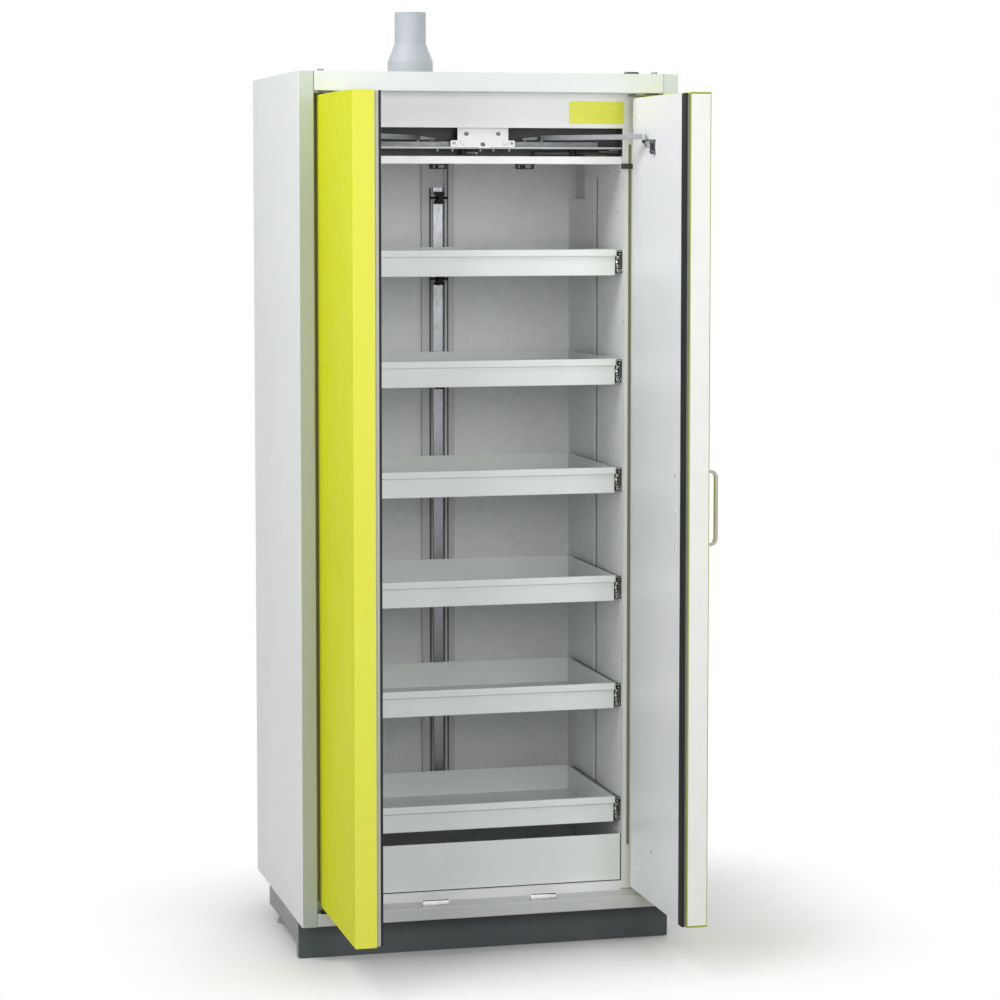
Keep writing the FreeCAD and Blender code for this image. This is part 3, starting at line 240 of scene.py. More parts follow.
plasticLooks = {
    # The black also makes the strips of painted shade at the sump's front edges and the discs of painted shade in the
    # board holes.
    "blackPolyamideAndShade": {"colour": "131415", "shade": "0F1011", "roughness": 0.5, "grainMm": 2.5, "grain": 0.35,
                       "gloss": 0.2},
    "smokedPolyamide": {"colour": "4A4B45", "shade": "42433E", "roughness": 0.5, "grainMm": 2.5, "grain": 0.3,
                        "gloss": 0.3},
    # Grey for the fascia joints and the catch windows, and painted shade in the gaps of the rear column.
    "greyProfileAndGapShade": {"colour": "686969", "shade": "616262", "roughness": 0.6, "grainMm": 3, "grain": 0.2,
                         "gloss": 0.3},
    "agedGreyPolyamide": {"colour": "9C9EA0", "shade": "949698", "roughness": 0.5, "grainMm": 2.5, "grain": 0.3,
                          "gloss": 0.4},
    # Dark grey over the cut edge of the right inner skin: painted shade.
    "greyShadeEdgeStrip": {"colour": "777974", "shade": "70726D", "roughness": 0.6, "grainMm": 4, "grain": 0.2, "gloss": 0.3},
    "paleEdgeTape": {"colour": "BDBCBE", "shade": "B7B6B8", "roughness": 0.6, "grainMm": 4, "grain": 0.2, "gloss": 0.3},
    # Grey inside the side grooves: painted shade.
    "grooveShadeLining": {"colour": "858886", "shade": "7D807E", "roughness": 0.55, "grainMm": 4, "grain": 0.2,
                            "gloss": 0.3},
    "greyPolypropylene": {"colour": "AAB0B5", "shade": "AEB3B8", "roughness": 0.5, "grainMm": 4, "grain": 0.2,
                          "gloss": 0.4},
    "whitePolyethylene": {"colour": "F6F7F6", "shade": "F0F1F0", "roughness": 0.35, "grainMm": 3, "grain": 0.1},
    "whiteEdgeProfile": {"colour": "F0F1EC", "shade": "EBEDE8", "roughness": 0.4, "grainMm": 3, "grain": 0.15},
}
sealLooks = {
    "graphiteSealStrip": {"colour": "1E1F20", "shade": "19191A", "roughness": 0.65, "ribMm": 5, "gloss": 0.3},
    # Olive grey of the frame gaskets, also used for the strips of painted shade under the ends of the fascia.
    "jambSealAndShadeStrip": {"colour": "8B8D76", "shade": "80826D", "roughness": 0.55, "ribMm": 5, "gloss": 0.4},
    # Strips in the foot slots and behind the hinge gaps: painted shade.
    "paintedShadeStrip": {"colour": "B8AF92", "shade": "ADA488", "roughness": 0.6, "ribMm": 5, "gloss": 0.3},
}
boardLooks = {
    "filmedSilicateBoard": {"colour": "F2F4F3", "shade": "ECEEED", "roughness": 0.55, "mottleMm": 30},
    "rawSilicateBoard": {"colour": "E6E7E4", "shade": "DCDDD9", "roughness": 0.85, "mottleMm": 12},
}
finishes = {}
for looks, maker in ((paintLooks, powderCoat), (steelLooks, platedSteel), (plasticLooks, mouldedPlastic),
                     (sealLooks, foamedSeal), (boardLooks, coatedBoard)):
    for finishName, look in looks.items():
        finishes[finishName] = maker(finishName, look)

nodeFinish = {
    "shellPowderCoat": ["top_panel", "top_fascia", "back_panel"],
    "sidePowderCoat": ["side_panel_right"],
    "paintedShadeFoldCoat": ["side_panel_left"],
    "thresholdCoatAndLipHighlight": ["floor_panel"],
    "framePowderCoat": ["door_frame"],
    "rawSilicateBoard": ["insulation_boards", "left_leaf_core", "right_leaf_core"],
    "filmedSilicateBoard": ["liner_left", "liner_right", "liner_back", "liner_ceiling", "liner_floor"],
    "columnPowderCoat": ["rear_column"],
    "galvanisedStrip": ["rear_strip"],
    "blackPolyamideAndShade": ["tray_interlocks", "catch_latches"],
    "smokedPolyamide": ["corner_clips"],
    "agedGreyPolyamide": ["roof_plugs", "levelling_feet"],
    "headerPowderCoat": ["header_crossbar", "centre_plate"],
    "channelSteel": ["arm_rail"],
    "zincPlatedSteel": ["header_fittings", "left_arm_bracket", "right_arm_bracket"],
    "blackenedSteel": ["hinge_pins"],
    "rolledArmSteel": ["left_arm", "right_arm"],
    "brightZincSteel": ["striker_tabs"],
    "slideZincSteel": ["slide_rails"] + ["tray_%d_runners" % n for n in trayNumbers],
    "jambSealAndShadeStrip": ["frame_gaskets"],
    "graphiteSealStrip": ["left_leaf_seal", "right_leaf_seal"],
    "greyPolypropylene": ["vent_spigot"],
    "basePowderCoat": ["base_frame"],
    "plinthPowderCoat": ["plinth_panel"],
    "doorYellowPowderCoat": ["left_leaf_pan"],
    "paintedShadeEdgeYellowCoat": ["right_leaf_pan"],
    "doorInnerPowderCoat": ["left_leaf_panel", "right_leaf_panel"],
    "whiteEdgeProfile": ["right_edge_strip"],
    "turnedBrass": ["left_pivot_bushes", "right_pivot_bushes"],
    "handlePowderCoat": ["door_handle"],
    "trayPowderCoat": ["sump_pan"] + ["tray_%d" % n for n in trayNumbers],
}
for finishName, members in nodeFinish.items():
    for member in members:
        for matSlot in nodes[member].material_slots:
            matSlot.material = finishes[finishName]
bare = sorted(set(nodes) - {m for members in nodeFinish.values() for m in members})
print("finishes set, nodes without one:", bare)


# Small mesh tools, sizes in mm
def roundEdges(bm, edges, radius, segments):
    bmesh.ops.bevel(bm, geom=edges, offset=radius * mm, offset_type="OFFSET", affect="EDGES", segments=segments,
                    profile=0.5, material=-1)


def layAlong(bm, before, place, axis):
    # what is newer than before is turned from +Z to the axis and set in its place
    fresh = [v for v in bm.verts if v not in before]
    turn = Vector((0, 0, 1)).rotation_difference(Vector(axis)).to_matrix().to_4x4()
    bmesh.ops.transform(bm, matrix=Matrix.Translation(Vector(place) * mm) @ turn, verts=fresh)


def addBlock(bm, low, high, bevel=0.0, segments=2):
    before = set(bm.edges)
    fresh = bmesh.ops.create_cube(bm, size=1.0)["verts"]
    size = [(b - a) * mm for a, b in zip(low, high)]
    middle = [(a + b) / 2 * mm for a, b in zip(low, high)]
    bmesh.ops.scale(bm, vec=size, verts=fresh)
    bmesh.ops.translate(bm, vec=middle, verts=fresh)
    if bevel:
        roundEdges(bm, [e for e in bm.edges if e not in before], bevel, segments)


def addSpan(bm, look, key, bevel):
    # a block from the look's three (low, high) pairs, y counted back from the front of the body
    (x0, x1), (y0, y1), (z0, z1) = look[key + "X"], look[key + "Y"], look[key + "Z"]
    addBlock(bm, (x0, frontPlane + y0, z0), (x1, frontPlane + y1, z1), bevel)


def addTurned(bm, outline, place, axis, steps=24):
    # outline is (radius, height) in mm, turned about +Z and then laid along axis; its ends close on the axis
    before = set(bm.verts)
    closed = [(0.0, outline[0][1])] * (outline[0][0] > 0) + outline + [(0.0, outline[-1][1])] * (outline[-1][0] > 0)
    verts = [bm.verts.new((r * mm, 0, h * mm)) for r, h in closed]
    edges = [bm.edges.new(pair) for pair in zip(verts, verts[1:])]
    bmesh.ops.spin(bm, geom=verts + edges, cent=(0, 0, 0), axis=(0, 0, 1), angle=math.tau, steps=steps, use_merge=True)
    layAlong(bm, before, place, axis)


def addStrap(bm, path, direction, thick):
    # a bent strip: an open run of points drawn out along direction, then given its thickness
    verts = [bm.verts.new([c * mm for c in point]) for point in path]
    edges = [bm.edges.new(pair) for pair in zip(verts, verts[1:])]
    drawn = bmesh.ops.extrude_edge_only(bm, edges=edges)["geom"]
    bmesh.ops.translate(bm, vec=[c * mm for c in direction],
                        verts=[g for g in drawn if isinstance(g, bmesh.types.BMVert)])
    faces = [g for g in drawn if isinstance(g, bmesh.types.BMFace)]
    bmesh.ops.recalc_face_normals(bm, faces=faces)
    bmesh.ops.solidify(bm, geom=faces, thickness=thick * mm)


def addSpring(bm, place, axis, radius, wire, pitch, turns):
    before = set(bm.verts)
    laid = Matrix.Translation((radius * mm, 0, 0)) @ Matrix.Rotation(math.pi / 2, 4, "X")
    ring = bmesh.ops.create_circle(bm, cap_ends=False, radius=wire / 2 * mm, segments=6, matrix=laid)["verts"]
    edges = [e for e in bm.edges if e.verts[0] in ring and e.verts[1] in ring]
    bmesh.ops.spin(bm, geom=ring + edges, cent=(0, 0, 0), axis=(0, 0, 1), dvec=(0, 0, pitch / 12 * mm),
                   angle=math.tau * turns, steps=12 * turns, use_merge=False)
    bmesh.ops.holes_fill(bm, edges=[e for e in bm.edges if e.is_boundary], sides=6)
    layAlong(bm, before, place, axis)


def mirrorCopy(bm):
    # adds the other side of what is there, over the middle plane
    bmesh.ops.mirror(bm, geom=bm.verts[:] + bm.edges[:] + bm.faces[:], axis="X", merge_dist=0.0)


def finishPiece(name, bm, finishName, body, smoothAngle=30):
    bmesh.ops.remove_doubles(bm, verts=bm.verts[:], dist=0.002 * mm)
    bmesh.ops.recalc_face_normals(bm, faces=bm.faces[:])
    mesh = bpy.data.meshes.new(name)
    bm.to_mesh(mesh)
    bm.free()
    mesh.materials.append(finishes[finishName])
    mesh.polygons.foreach_set("use_smooth", [True] * len(mesh.polygons))
    mesh.set_sharp_from_angle(angle=math.radians(smoothAngle))
    piece = bpy.data.objects.new(name, mesh)
    bpy.context.scene.collection.objects.link(piece)
    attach(piece, body)
    return piece


def buildPair(name, look, keys, bevel, finishName):
    # a piece of the body: the blocks on its right and their mirror images
    bm = bmesh.new()
    for key in keys:
        addSpan(bm, look, key, bevel)
    mirrorCopy(bm)
    finishPiece(name, bm, finishName, "cabinet")


# Plain yellow plate on the header
labelPlate = {"x0": 196.0, "x1": 323.6, "low": 1864.8, "high": 1915.0, "thick": 0.8, "round": 3.5, "rim": 2.0,
              "raised": 0.2}


def buildLabelPlate(look):
    # Vinyl film on sheet, printed yellow: flat colour with a soft sheen.
    finishes["yellowVinylFilm"] = powderCoat("yellowVinylFilm",
                                             {"colour": "E3E83A", "shade": "DDE236", "roughness": 0.3,
                                             "peelMm": 8, "peel": 0.08, "patchMm": 60})
    bm = bmesh.new()
    addBlock(bm, (look["x0"], frameFace - look["thick"], look["low"]), (look["x1"], frameFace, look["high"]))
    corners = [e for e in bm.edges if abs(e.verts[0].co.y - e.verts[1].co.y) > 0.5 * look["thick"] * mm]
    roundEdges(bm, corners, look["round"], 3)
    front = [f for f in bm.faces if f.normal.y < -0.9]
    bmesh.ops.inset_region(bm, faces=front, thickness=look["rim"] * mm, depth=-look["raised"] * mm)
    finishPiece("header_plate", bm, "yellowVinylFilm", "cabinet", smoothAngle=3)


buildLabelPlate(labelPlate)
print("header plate made")

# Black end caps of the telescopic slides, with the bright ends of the rolled sections; z counts from the tray's lip
slideEnd = {"lipTops": [1582.5, 1334.3, 1086.6, 838.5, 590.3, 326.8], "inner": 309.5, "innerTop": 313.4, "outer": 325.2,
            "front": 77.2, "back": 80.2, "top": -2.0, "step": -16.0, "low": -54.0, "proud": 0.7, "line": 1.5,
            "sections": [[(313.8, -3.4), (322.2, -3.4), (324.0, -5.6)], [(319.8, -8.0), (317.4, -10.6), (320.8, -13.4)],
                         [(311.4, -15.6), (315.8, -14.8), (317.8, -18.2), (315.4, -22.4), (311.2, -23.4)],
                         [(311.2, -34.4), (315.2, -33.8), (316.6, -37.2), (311.8, -38.2)],
                         [(310.8, -41.0), (319.4, -41.0)],
                         [(311.4, -45.2), (314.4, -43.6), (318.2, -45.2), (318.8, -48.2)],
                         [(312.6, -51.4), (319.8, -52.2), (323.4, -49.0), (323.4, -43.6)]],
            "latchX": (310.6, 315.4), "latchZ": (-31.8, -25.6), "webX": (318.4, 324.2), "webZ": (-42.0, -15.0),
            "sunk": 0.3, "ball": 1.7, "balls": [(313.4, -19.2), (314.2, -48.6)]}


def buildSlideEnds(look):
    face, back = frontPlane + look["front"], frontPlane + look["back"]
    (latch0, latch1), (web0, web1) = look["latchX"], look["webX"]
    for number, lipTop in zip(trayNumbers, look["lipTops"]):
        body = "tray_%d_carriage" % number
        bm = bmesh.new()
        addBlock(bm, (look["innerTop"], face, lipTop + look["step"]), (look["outer"], back, lipTop + look["top"]), 0.8)
        addBlock(bm, (look["inner"], face, lipTop + look["low"]), (look["outer"], back, lipTop + look["step"] + 1.0),
                 0.8)
        mirrorCopy(bm)
        finishPiece("tray_%d_slide_caps" % number, bm, "blackPolyamideAndShade", body)
        bm = bmesh.new()
        for run in look["sections"]:
            addStrap(bm, [(x, face - look["proud"], lipTop + z) for x, z in run], (0, look["proud"] + look["sunk"], 0),
                     look["line"])
        z0, z1 = look["latchZ"]
        addBlock(bm, (latch0, face - 0.4, lipTop + z0), (latch1, face + look["sunk"], lipTop + z1), 0.3)
        dome = [(look["ball"], 0.0), (look["ball"] * 0.87, 0.85), (look["ball"] * 0.5, 1.47), (0.0, look["ball"])]
        for x, z in look["balls"]:
            addTurned(bm, dome, (x, face + 0.1, lipTop + z), (0, -1, 0), 10)
        mirrorCopy(bm)
        finishPiece("tray_%d_slide_sections" % number, bm, "brightZincSteel", body)
        bm = bmesh.new()
        z0, z1 = look["webZ"]
        addBlock(bm, (web0, face - 0.5, lipTop + z0), (web1, face + look["sunk"], lipTop + z1), 0.3)
        mirrorCopy(bm)
        finishPiece("tray_%d_slide_webs" % number, bm, "smokedPolyamide", body)


buildSlideEnds(slideEnd)
print("slide ends made")

# Door arm brackets: plate on the leaf, forged fork with its bush, and the two straps that carry the arm pin
armBracket = {"leafX": 332.3, "plate": 1.3, "plateY": (-157.0, -137.0), "plateZ": (1793.5, 1827.5), "lugX": 321.5,
              "lugY": (-154.5, -138.5), "lugZ": (1796.5, 1824.5), "cheek": 7.5, "bushX": 326.0, "bush": 4.6,
              "pinX": 323.0, "pinY": -95.0, "linkLow": 1823.8, "link": 3.0, "linkWidth": 7.0,
              "hook": [(-100.0, 1823.6), (-103.5, 1818.5), (-108.0, 1814.6), (-114.0, 1811.8), (-122.0, 1810.4),
                       (-142.0, 1810.0)], "hookWidth": 2.2, "hookThick": 1.1, "collarLow": 1819.8}


def buildArmBrackets(look):
    pinY = frontPlane + look["pinY"]
    y0, y1 = [frontPlane + y for y in look["lugY"]]
    z0, z1 = look["lugZ"]
    middle = (y0 + y1) / 2
    for side, name in ((1, "right"), (-1, "left")):
        plate, lug, straps, dark = bmesh.new(), bmesh.new(), bmesh.new(), bmesh.new()
        addBlock(plate, (look["leafX"] - look["plate"], frontPlane + look["plateY"][0], look["plateZ"][0]),
                 (look["leafX"], frontPlane + look["plateY"][1], look["plateZ"][1]), 0.6)
        addBlock(lug, (look["leafX"] - 4.6, y0, z0), (look["leafX"] - look["plate"] + 0.1, y1, z1), 1.4, 3)
        for low in (z0, z1 - look["cheek"]):
            addBlock(lug, (look["lugX"], y0 + 1.0, low), (look["leafX"] - 2.0, y1 - 1.0, low + look["cheek"]), 2.2, 3)
        gap = z1 - z0 - 2 * look["cheek"]
        addTurned(dark, [(look["bush"] - 1.0, 0.0), (look["bush"], 1.0), (look["bush"], gap - 1.0),
                         (look["bush"] - 1.0, gap)],
                  (look["bushX"], middle, z0 + look["cheek"]), (0, 0, 1), 18)
        for z in (z0 - 2.0, z1):
            addTurned(dark, [(2.4, 0.0), (3.0, 0.5), (3.0, 1.5), (2.4, 2.0)], (look["bushX"], middle, z), (0, 0, 1), 16)
        for z in (look["plateZ"][0] + 2.4, look["plateZ"][1] - 2.4):
            addTurned(dark, [(2.0, 0.0), (2.0, 0.7), (1.4, 1.3), (0.7, 1.3), (0.6, 0.6)],
                      (look["leafX"] - look["plate"], frontPlane + look["plateY"][0] + 3.0, z), (-1, 0, 0), 12)
        linkRun = [(look["pinX"], pinY + 4.0), (look["pinX"], pinY - 40.0), (look["bushX"], middle + 2.0),
                   (look["bushX"], middle - 4.0)]
        half = look["linkWidth"] / 2
        addStrap(straps, [(x - half, y, look["linkLow"] + look["link"]) for x, y in linkRun], (2 * half, 0, 0),
                 look["link"])
        addStrap(straps, [(look["pinX"] - 1.6, frontPlane + y, z) for y, z in look["hook"]], (look["hookWidth"], 0, 0),
                 look["hookThick"])
        addTurned(dark, [(3.2, 0.0), (4.2, 0.8), (4.2, 3.2), (3.2, 4.0)], (look["pinX"], pinY, look["collarLow"]),
                  (0, 0, 1), 6)
        parts = [("_arm_plate", plate, "brightZincSteel"), ("_arm_fork", lug, "forgedBracketSteel"),
                 ("_arm_straps", straps, "zincPlatedSteel"), ("_arm_screws", dark, "blackenedSteel")]
        for suffix, bm, finishName in parts:
            if side < 0:
                bmesh.ops.scale(bm, vec=(-1, 1, 1), verts=bm.verts[:])
            piece = finishPiece(name + suffix, bm, finishName, name + "_door")
            if suffix == "_arm_fork":
                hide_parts(name + "_arm_bracket")


buildArmBrackets(armBracket)
print("arm brackets made")

# Pieces under the guide rail: release block, damper, pins and the fixed bars behind the rollers.
# Blocks are (x pair, y pair behind the front of the rail, z pair, bevel)
headerGear = {"front": 80.0, "barInner": 100.0, "barOuter": 151.0, "barLow": 1828.0, "barHigh": 1839.0, "barTaper": 6.0,
              "barFace": 113.5, "barBack": 118.0, "postLow": 1824.0, "postWidth": 8.0,
              "stops": [((-48.3, -39.0), (3.0, 22.0), (1795.2, 1807.7), 1.2),
                        ((-36.5, -22.0), (2.0, 24.0), (1803.8, 1807.9), 1.0),
                        ((206.0, 211.5), (4.0, 16.0), (1795.2, 1807.0), 1.0),
                        ((217.0, 224.0), (4.0, 16.0), (1797.2, 1807.0), 1.6),
                        ((226.0, 238.0), (6.0, 14.0), (1792.6, 1798.6), 1.4)],
              "damper": [(5.2, 0.0), (5.4, 3.0), (5.4, 62.0), (6.2, 64.0), (6.2, 86.0), (5.0, 88.0), (5.0, 150.0),
                         (4.2, 152.0)], "damperAt": (124.0, 20.0, 1798.6),
              "carriers": [((240.0, 292.0), (8.0, 20.0), (1792.4, 1797.2), 1.2),
                           ((300.0, 316.0), (7.0, 17.0), (1799.0, 1806.0), 0.8)],
              "rod": [(2.0, 0.0), (2.0, 24.0)], "rodAt": (274.0, 12.0, 1802.6),
              "hoopX": (297.6, 317.6), "hoopZ": (1798.4, 1807.0), "hoopDepth": 14.0, "hoopThick": 1.3,
              "pins": [-102.8, -68.5, -4.1, 25.8, 62.8], "pinLow": 1801.8,
              "pin": [(1.6, 0.0), (3.6, 1.4), (3.6, 4.6), (2.2, 4.6), (2.2, 6.4)], "studAt": (-14.0, 2.2, 1799.0),
              "springAt": (-36.0, 8.0, 1799.6), "spring": 3.2, "springWire": 1.0, "springPitch": 1.8, "springTurns": 12,
              "lipX": 325.8, "lipZ": (1808.8, 1813.0), "plateFace": 75.1, "screwX": 66.3, "screwZ": 1821.0,
              "bossX": (-48.0, 49.2), "bossZ": 1822.5, "holeFloor": 77.4,
              "holes": [(-38.9, 1841.6), (34.4, 1841.8), (-1.3, 1818.4)]}


def buildHeaderGear(look):
    front, plate = frontPlane + look["front"], frontPlane + look["plateFace"]

    def behind(spot):
        return (spot[0], front + spot[1], spot[2])

    bars = bmesh.new()
    y0, y1 = frontPlane + look["barFace"], frontPlane + look["barBack"]
    addBlock(bars, (look["barInner"], y0, look["barLow"]), (look["barOuter"], y1, look["barHigh"]))
    high = [v for v in bars.verts if v.co.z > (look["barHigh"] - 1) * mm and v.co.x < (look["barInner"] + 1) * mm]
    bmesh.ops.translate(bars, vec=(0, 0, -look["barTaper"] * mm), verts=high)
    roundEdges(bars, bars.edges[:], 0.5, 2)
    for x in (look["barInner"] + 4.0, look["barOuter"] - 12.0):
        addBlock(bars, (x, y1 - 1.5, look["postLow"]), (x + look["postWidth"], y1, look["barLow"] + 1.0), 0.3)
    mirrorCopy(bars)
    piece = finishPiece("guide_end_bars", bars, "channelSteel", "cabinet")
    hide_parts("header_fittings")

    block, damper = bmesh.new(), bmesh.new()
    addTurned(damper, look["damper"], behind(look["damperAt"]), (1, 0, 0), 20)
    for bm, blocks in ((block, look["stops"]), (damper, look["carriers"])):
        for (x0, x1), (depth0, depth1), (z0, z1), bevel in blocks:
            addBlock(bm, behind((x0, depth0, z0)), behind((x1, depth1, z1)), bevel)
    finishPiece("release_block_and_stops", block, "blackPolyamideAndShade", "cabinet")
    finishPiece("damper_and_carriers", damper, "smokedPolyamide", "cabinet")

    bright = bmesh.new()
    addTurned(bright, look["rod"], behind(look["rodAt"]), (1, 0, 0), 16)
    (x0, x1), (z0, z1) = look["hoopX"], look["hoopZ"]
    addStrap(bright, [(x, front + 5.0, z) for x, z in ((x0, z0), (x0, z1), (x1, z1), (x1, z0))],
             (0, look["hoopDepth"], 0), look["hoopThick"])
    for x in look["pins"]:
        addTurned(bright, look["pin"], behind((x, 6.0, look["pinLow"])), (0, 0, 1), 16)
    addTurned(bright, [(2.6, 0.0), (2.6, 1.0), (1.6, 1.8)], behind(look["studAt"]), (0, -1, 0), 16)
    addSpring(bright, behind(look["springAt"]), (1, 0, 0), look["spring"], look["springWire"], look["springPitch"],
              look["springTurns"])
    finishPiece("header_pins_and_rods", bright, "zincPlatedSteel", "cabinet")

    # A pale strip on the rail's lower flange: the flange is real, its pale colour a painted highlight
    lip = bmesh.new()
    addBlock(lip, (-look["lipX"], front - 0.8, look["lipZ"][0]), (look["lipX"], front + 0.2, look["lipZ"][1]), 0.3)
    finishPiece("rail_lower_lip_highlight", lip, "thresholdCoatAndLipHighlight", "cabinet")

    heads, plugs, bosses = bmesh.new(), bmesh.new(), bmesh.new()
    for sign in (-1, 1):
        addTurned(heads, [(3.2, 0.0), (3.2, 0.9), (2.5, 1.6), (1.4, 1.6), (1.3, 0.8), (0.0, 0.8)],
                  (sign * look["screwX"], plate, look["screwZ"]), (0, -1, 0), 16)
    finishPiece("plate_screws", heads, "zincPlatedSteel", "cabinet")
    for x, z in look["holes"]:
        addTurned(plugs, [(4.6, 0.0), (4.6, 1.0)], (x, frontPlane + look["holeFloor"], z), (0, -1, 0), 18)
    finishPiece("plate_plugs", plugs, "forgedBracketSteel", "cabinet")
    for x in look["bossX"]:
        addTurned(bosses, [(5.2, 0.0), (5.0, 1.4), (3.8, 2.4), (1.6, 2.7)], (x, plate, look["bossZ"]), (0, -1, 0), 24)
    finishPiece("plate_bosses", bosses, "headerPowderCoat", "cabinet")


buildHeaderGear(headerGear)
print("header gear made")

# Small fittings on the inner faces of the leaves, (y from the body front, height, kind)
leafFittings = {"faceX": 332.3,
                "right": [(-305.0, 1102.0, "fixing"), (-305.0, 947.0, "fixing"), (-308.0, 1026.0, "plug"),
                          (-22.0, 1877.5, "plug"), (-21.0, 177.5, "plug"), (-140.0, 243.6, "bore"),
                          (-311.0, 176.0, "slit")],
                "left": [(-22.0, 1877.5, "plug"), (-21.0, 177.5, "plug"), (-140.0, 243.6, "bore"),
                         (-311.0, 176.0, "slit")]}


def buildLeafFittings(look):
    for name, side in (("right", 1), ("left", -1)):
        caps, dark = bmesh.new(), bmesh.new()
        for y, z, kind in look[name]:
            place = (look["faceX"] + 0.05, frontPlane + y, z)
            if kind == "fixing":
                addTurned(caps, [(5.6, 0.0), (5.4, 1.0), (4.6, 1.4), (3.4, 0.5)], place, (-1, 0, 0), 20)
                addTurned(dark, [(3.6, 0.0), (3.4, 0.8), (1.8, 0.8), (1.7, 0.2), (0.0, 0.2)], place, (-1, 0, 0), 18)
            elif kind == "plug":
                addTurned(caps, [(5.2, 0.0), (5.0, 0.9), (3.6, 1.5), (0.0, 1.8)], place, (-1, 0, 0), 20)
            # A bore is a flat dark disc: painted shade of the hole
            elif kind == "bore":
                addTurned(dark, [(2.8, 0.0), (2.6, 0.3), (0.0, 0.3)], place, (-1, 0, 0), 16)
            else:
                addBlock(caps, (place[0] - 0.9, place[1] - 3.0, z - 10.0), (place[0], place[1] + 3.0, z + 10.0), 0.6)
        for bm in (caps, dark):
            if side < 0:
                bmesh.ops.scale(bm, vec=(-1, 1, 1), verts=bm.verts[:])
        finishPiece(name + "_leaf_plugs", caps, "whitePolyethylene", name + "_door")
        finishPiece(name + "_leaf_screws", dark, "blackenedSteel", name + "_door")


buildLeafFittings(leafFittings)

# Free edges of the leaves: an olive bead of painted shade beside the right pan, tape over the cut edge of the left
# inner skin, and over that of the right one a dark grey strip of painted shade beside a graphite strip
leafEdge = {"beadX": 341.4, "beadY": -485.0, "beadHalfX": 1.9, "beadHalfY": 0.95, "low": 128.4, "high": 1920.6,
            "tapes": [("right_edge_shade_strip", "greyShadeEdgeStrip", 1, (335.9, 340.0), -484.4),
                      ("left_edge_tape", "paleEdgeTape", -1, (332.6, 341.1), -482.0),
                      ("right_seal_tape", "graphiteSealStrip", 1, (332.7, 335.9), -484.4)], "tape": 0.5,
            "lipX": (330.0, 332.8), "lipY": (-484.0, -459.6)}


def buildLeafEdges(look):
    bm = bmesh.new()
    rise = look["high"] - look["low"]
    addTurned(bm, [(1.0, 0.0), (1.0, rise)], (0.0, 0.0, look["low"]), (0, 0, 1), 16)
    bmesh.ops.scale(bm, vec=(look["beadHalfX"], look["beadHalfY"], 1.0), verts=bm.verts[:])
    bmesh.ops.translate(bm, vec=(look["beadX"] * mm, look["beadY"] * mm, 0), verts=bm.verts[:])
    finishPiece("right_edge_shade_bead", bm, "oliveShadeBead", "right_door")
    for name, finishName, side, span, y in look["tapes"]:
        bm = bmesh.new()
        x0, x1 = sorted(side * x for x in span)
        addBlock(bm, (x0, y, look["low"]), (x1, y + look["tape"], look["high"]), 0.15)
        finishPiece(name, bm, finishName, "right_door" if side > 0 else "left_door")
    bm = bmesh.new()
    (x0, x1), (y0, y1) = look["lipX"], look["lipY"]
    addBlock(bm, (x0, y0, look["low"]), (x1, y1, look["high"]), 0.5)
    finishPiece("right_seal_lip", bm, "graphiteSealStrip", "right_door")


buildLeafEdges(leafEdge)
print("leaf edges made")

# Dark trims of painted shade: strips in the foot slots, at the sump front edges, behind the hinge gaps, under the ends
# of the fascia, in the side grooves and in the gaps of the rear column, and discs in the board holes
darkTrims = {"slotX": (322.0, 355.0), "slotY": (61.8, 63.4), "slotZ": (112.4, 115.6),
             "sumpX": (323.6, 325.8), "sumpY": (73.3, 90.0), "sumpZ": (131.4, 239.6), "sumpFoot": 1.7,
             "gapX": (370.0, 392.0), "gapY": (61.4, 62.0), "gapZ": (126.5, 1931.8),
             "soffitX": (334.0, 397.6), "soffitY": (2.0, 61.0), "soffitZ": (1926.8, 1931.95),
             "grooveX": (331.6, 332.9), "grooveY": (280.4, 306.6), "grooveZ": (241.0, 1746.0),
             "columnGaps": [(-22.6, -17.6, 1722.5), (11.0, 13.4, 1722.5), (20.6, 24.6, 1873.5)], "columnFace": 521.0,
             "columnLow": 131.6, "holeRadius": 2.45, "holeDepth": 1.0, "wallX": 326.0,
             "holes": [(104.8, 1757.0), (191.7, 1757.0), (278.6, 1757.0), (365.5, 1757.0), (123.7, 1667.0),
                       (324.5, 1667.0), (68.5, 1418.5), (68.5, 1030.5), (68.5, 642.5)]}


